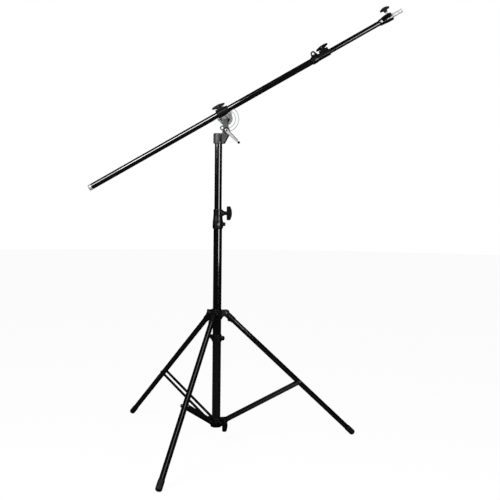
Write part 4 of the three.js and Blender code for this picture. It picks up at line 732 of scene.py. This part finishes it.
# Boom: an enamelled steel tube with a bright nickel cap pushed into its tail.
# A moulded lock collar with an eye sits over its other end, where a winged knob presses on the tip tube.
turned("boom_tube_enamelled", tube_profile(radius=12.5, wall=tube_wall, start=-624, end=456),
       boom_place @ to_right, enamel, "boom", "black_tube", "boom_tube")
tail_cap_profile = [(0, -638.8), (8.6, -638.8), (11.2, -638.2), (12.5, -636), (12.5, -625.2), (12.1, -624.3),
                    (10.7, -624.3), (10.7, -606.3), (9.1, -606.3), (9.1, -624.3), (0, -624.3)]
turned("boom_tail_cap_bright", tail_cap_profile, boom_place @ to_right,
       bright, "boom", "bright_steel", "boom_tail_cap")
cast("boom_lock_moulding", "boom_lock_collar", moulded, "boom", skin=0.7)
boom_knob_spot = Matrix.Translation((0.472, 0, 0.0203)) @ Matrix.Rotation(radians(-35), 4, "Z")
hand_knob("boom_lock_hand_knob", "boom_lock_knob", "boom_knob", boom_place @ boom_knob_spot,
          reach=10, **winged)


# Tip section: the enamelled second boom tube with a moulded guide bush in its tail.
# Its cast end socket flares from a sleeve to a ring, is riveted on the tube, and holds the grooved
# satin nickel spigot with a small winged knob on a bright stud.
turned("tip_tube_enamelled", tube_profile(radius=10, wall=tube_wall, start=-265, end=735),
       boom_place @ to_right, enamel, "tip", "black_tube", "tip_tube")
tip_bush_profile = [(0, -271.3), (10, -271.3), (10.65, -270.7), (10.65, -265.3), (8.2, -265.3), (8.2, -249.7),
                    (7.5, -249), (0, -249)]
turned("tip_guide_bush", tip_bush_profile, boom_place @ to_right,
       moulded, "tip_slider", "black_plastic", "tip_tail_bush")
flare_profile = [(11.2, 714), (12.5, 714), (13.7, 729), (15.1, 745), (15.5, 757.5), (11.2, 757.5),
                 (11.2, 714)]
cast("end_socket_casting", "end_socket", enamel, "tip", skin=0.6, fillet=flare_profile,
     fillet_place=boom_place @ to_right)
socket_rivet_spot, end_knob_spot = Matrix.Translation((0.722, 0, 0)), Matrix.Translation((0.756, 0, 0.0243))
socket_rivet_profile = [(0, 10.3), (2.2, 10.3), (2.2, 12.8), (4.8, 12.8), (4.8, 13.4), (4.2, 14.3),
                        (2.4, 14.8), (0, 14.8)]
turned("socket_rivet_domed", socket_rivet_profile, boom_place @ socket_rivet_spot @ to_front,
       bright, "tip", "bright_steel", "socket_rivet", steps=bolt_steps)
satin = make_finish("satin_nickel", (0.6, 0.6, 0.61), (0.68, 0.68, 0.69), 0.36, 0.5, metal=0.25,
                    mark_size=80, marks=0.8, grain_size=700, grain_depth=0.2, bump=0.04)
spigot_profile = [(0, 741), (6, 741), (8, 743), (8, 793), (6.6, 794.4), (6.6, 797.6), (8, 799), (8, 811),
                  (7.5, 812.3), (6.2, 813), (0, 813)]
turned("spigot_turned", spigot_profile, boom_place @ to_right, satin, "spigot", "bright_steel", "spigot")
hand_knob("end_hand_knob", "end_knob", "tip_knob", boom_place @ end_knob_spot, reach=0.5, half=20, tip_low=9,
          tip_high=17, crown=21.5, width=12, neck=0, hub=6, corner=3.6, arch=0.12)
turned("end_knob_stud_bright", [(0, -16), (3.4, -16), (3.8, -15.6), (3.8, -0.2), (0, -0.2)],
       boom_place @ end_knob_spot, bright, "tip_knob", "bright_steel", steps=bolt_steps)
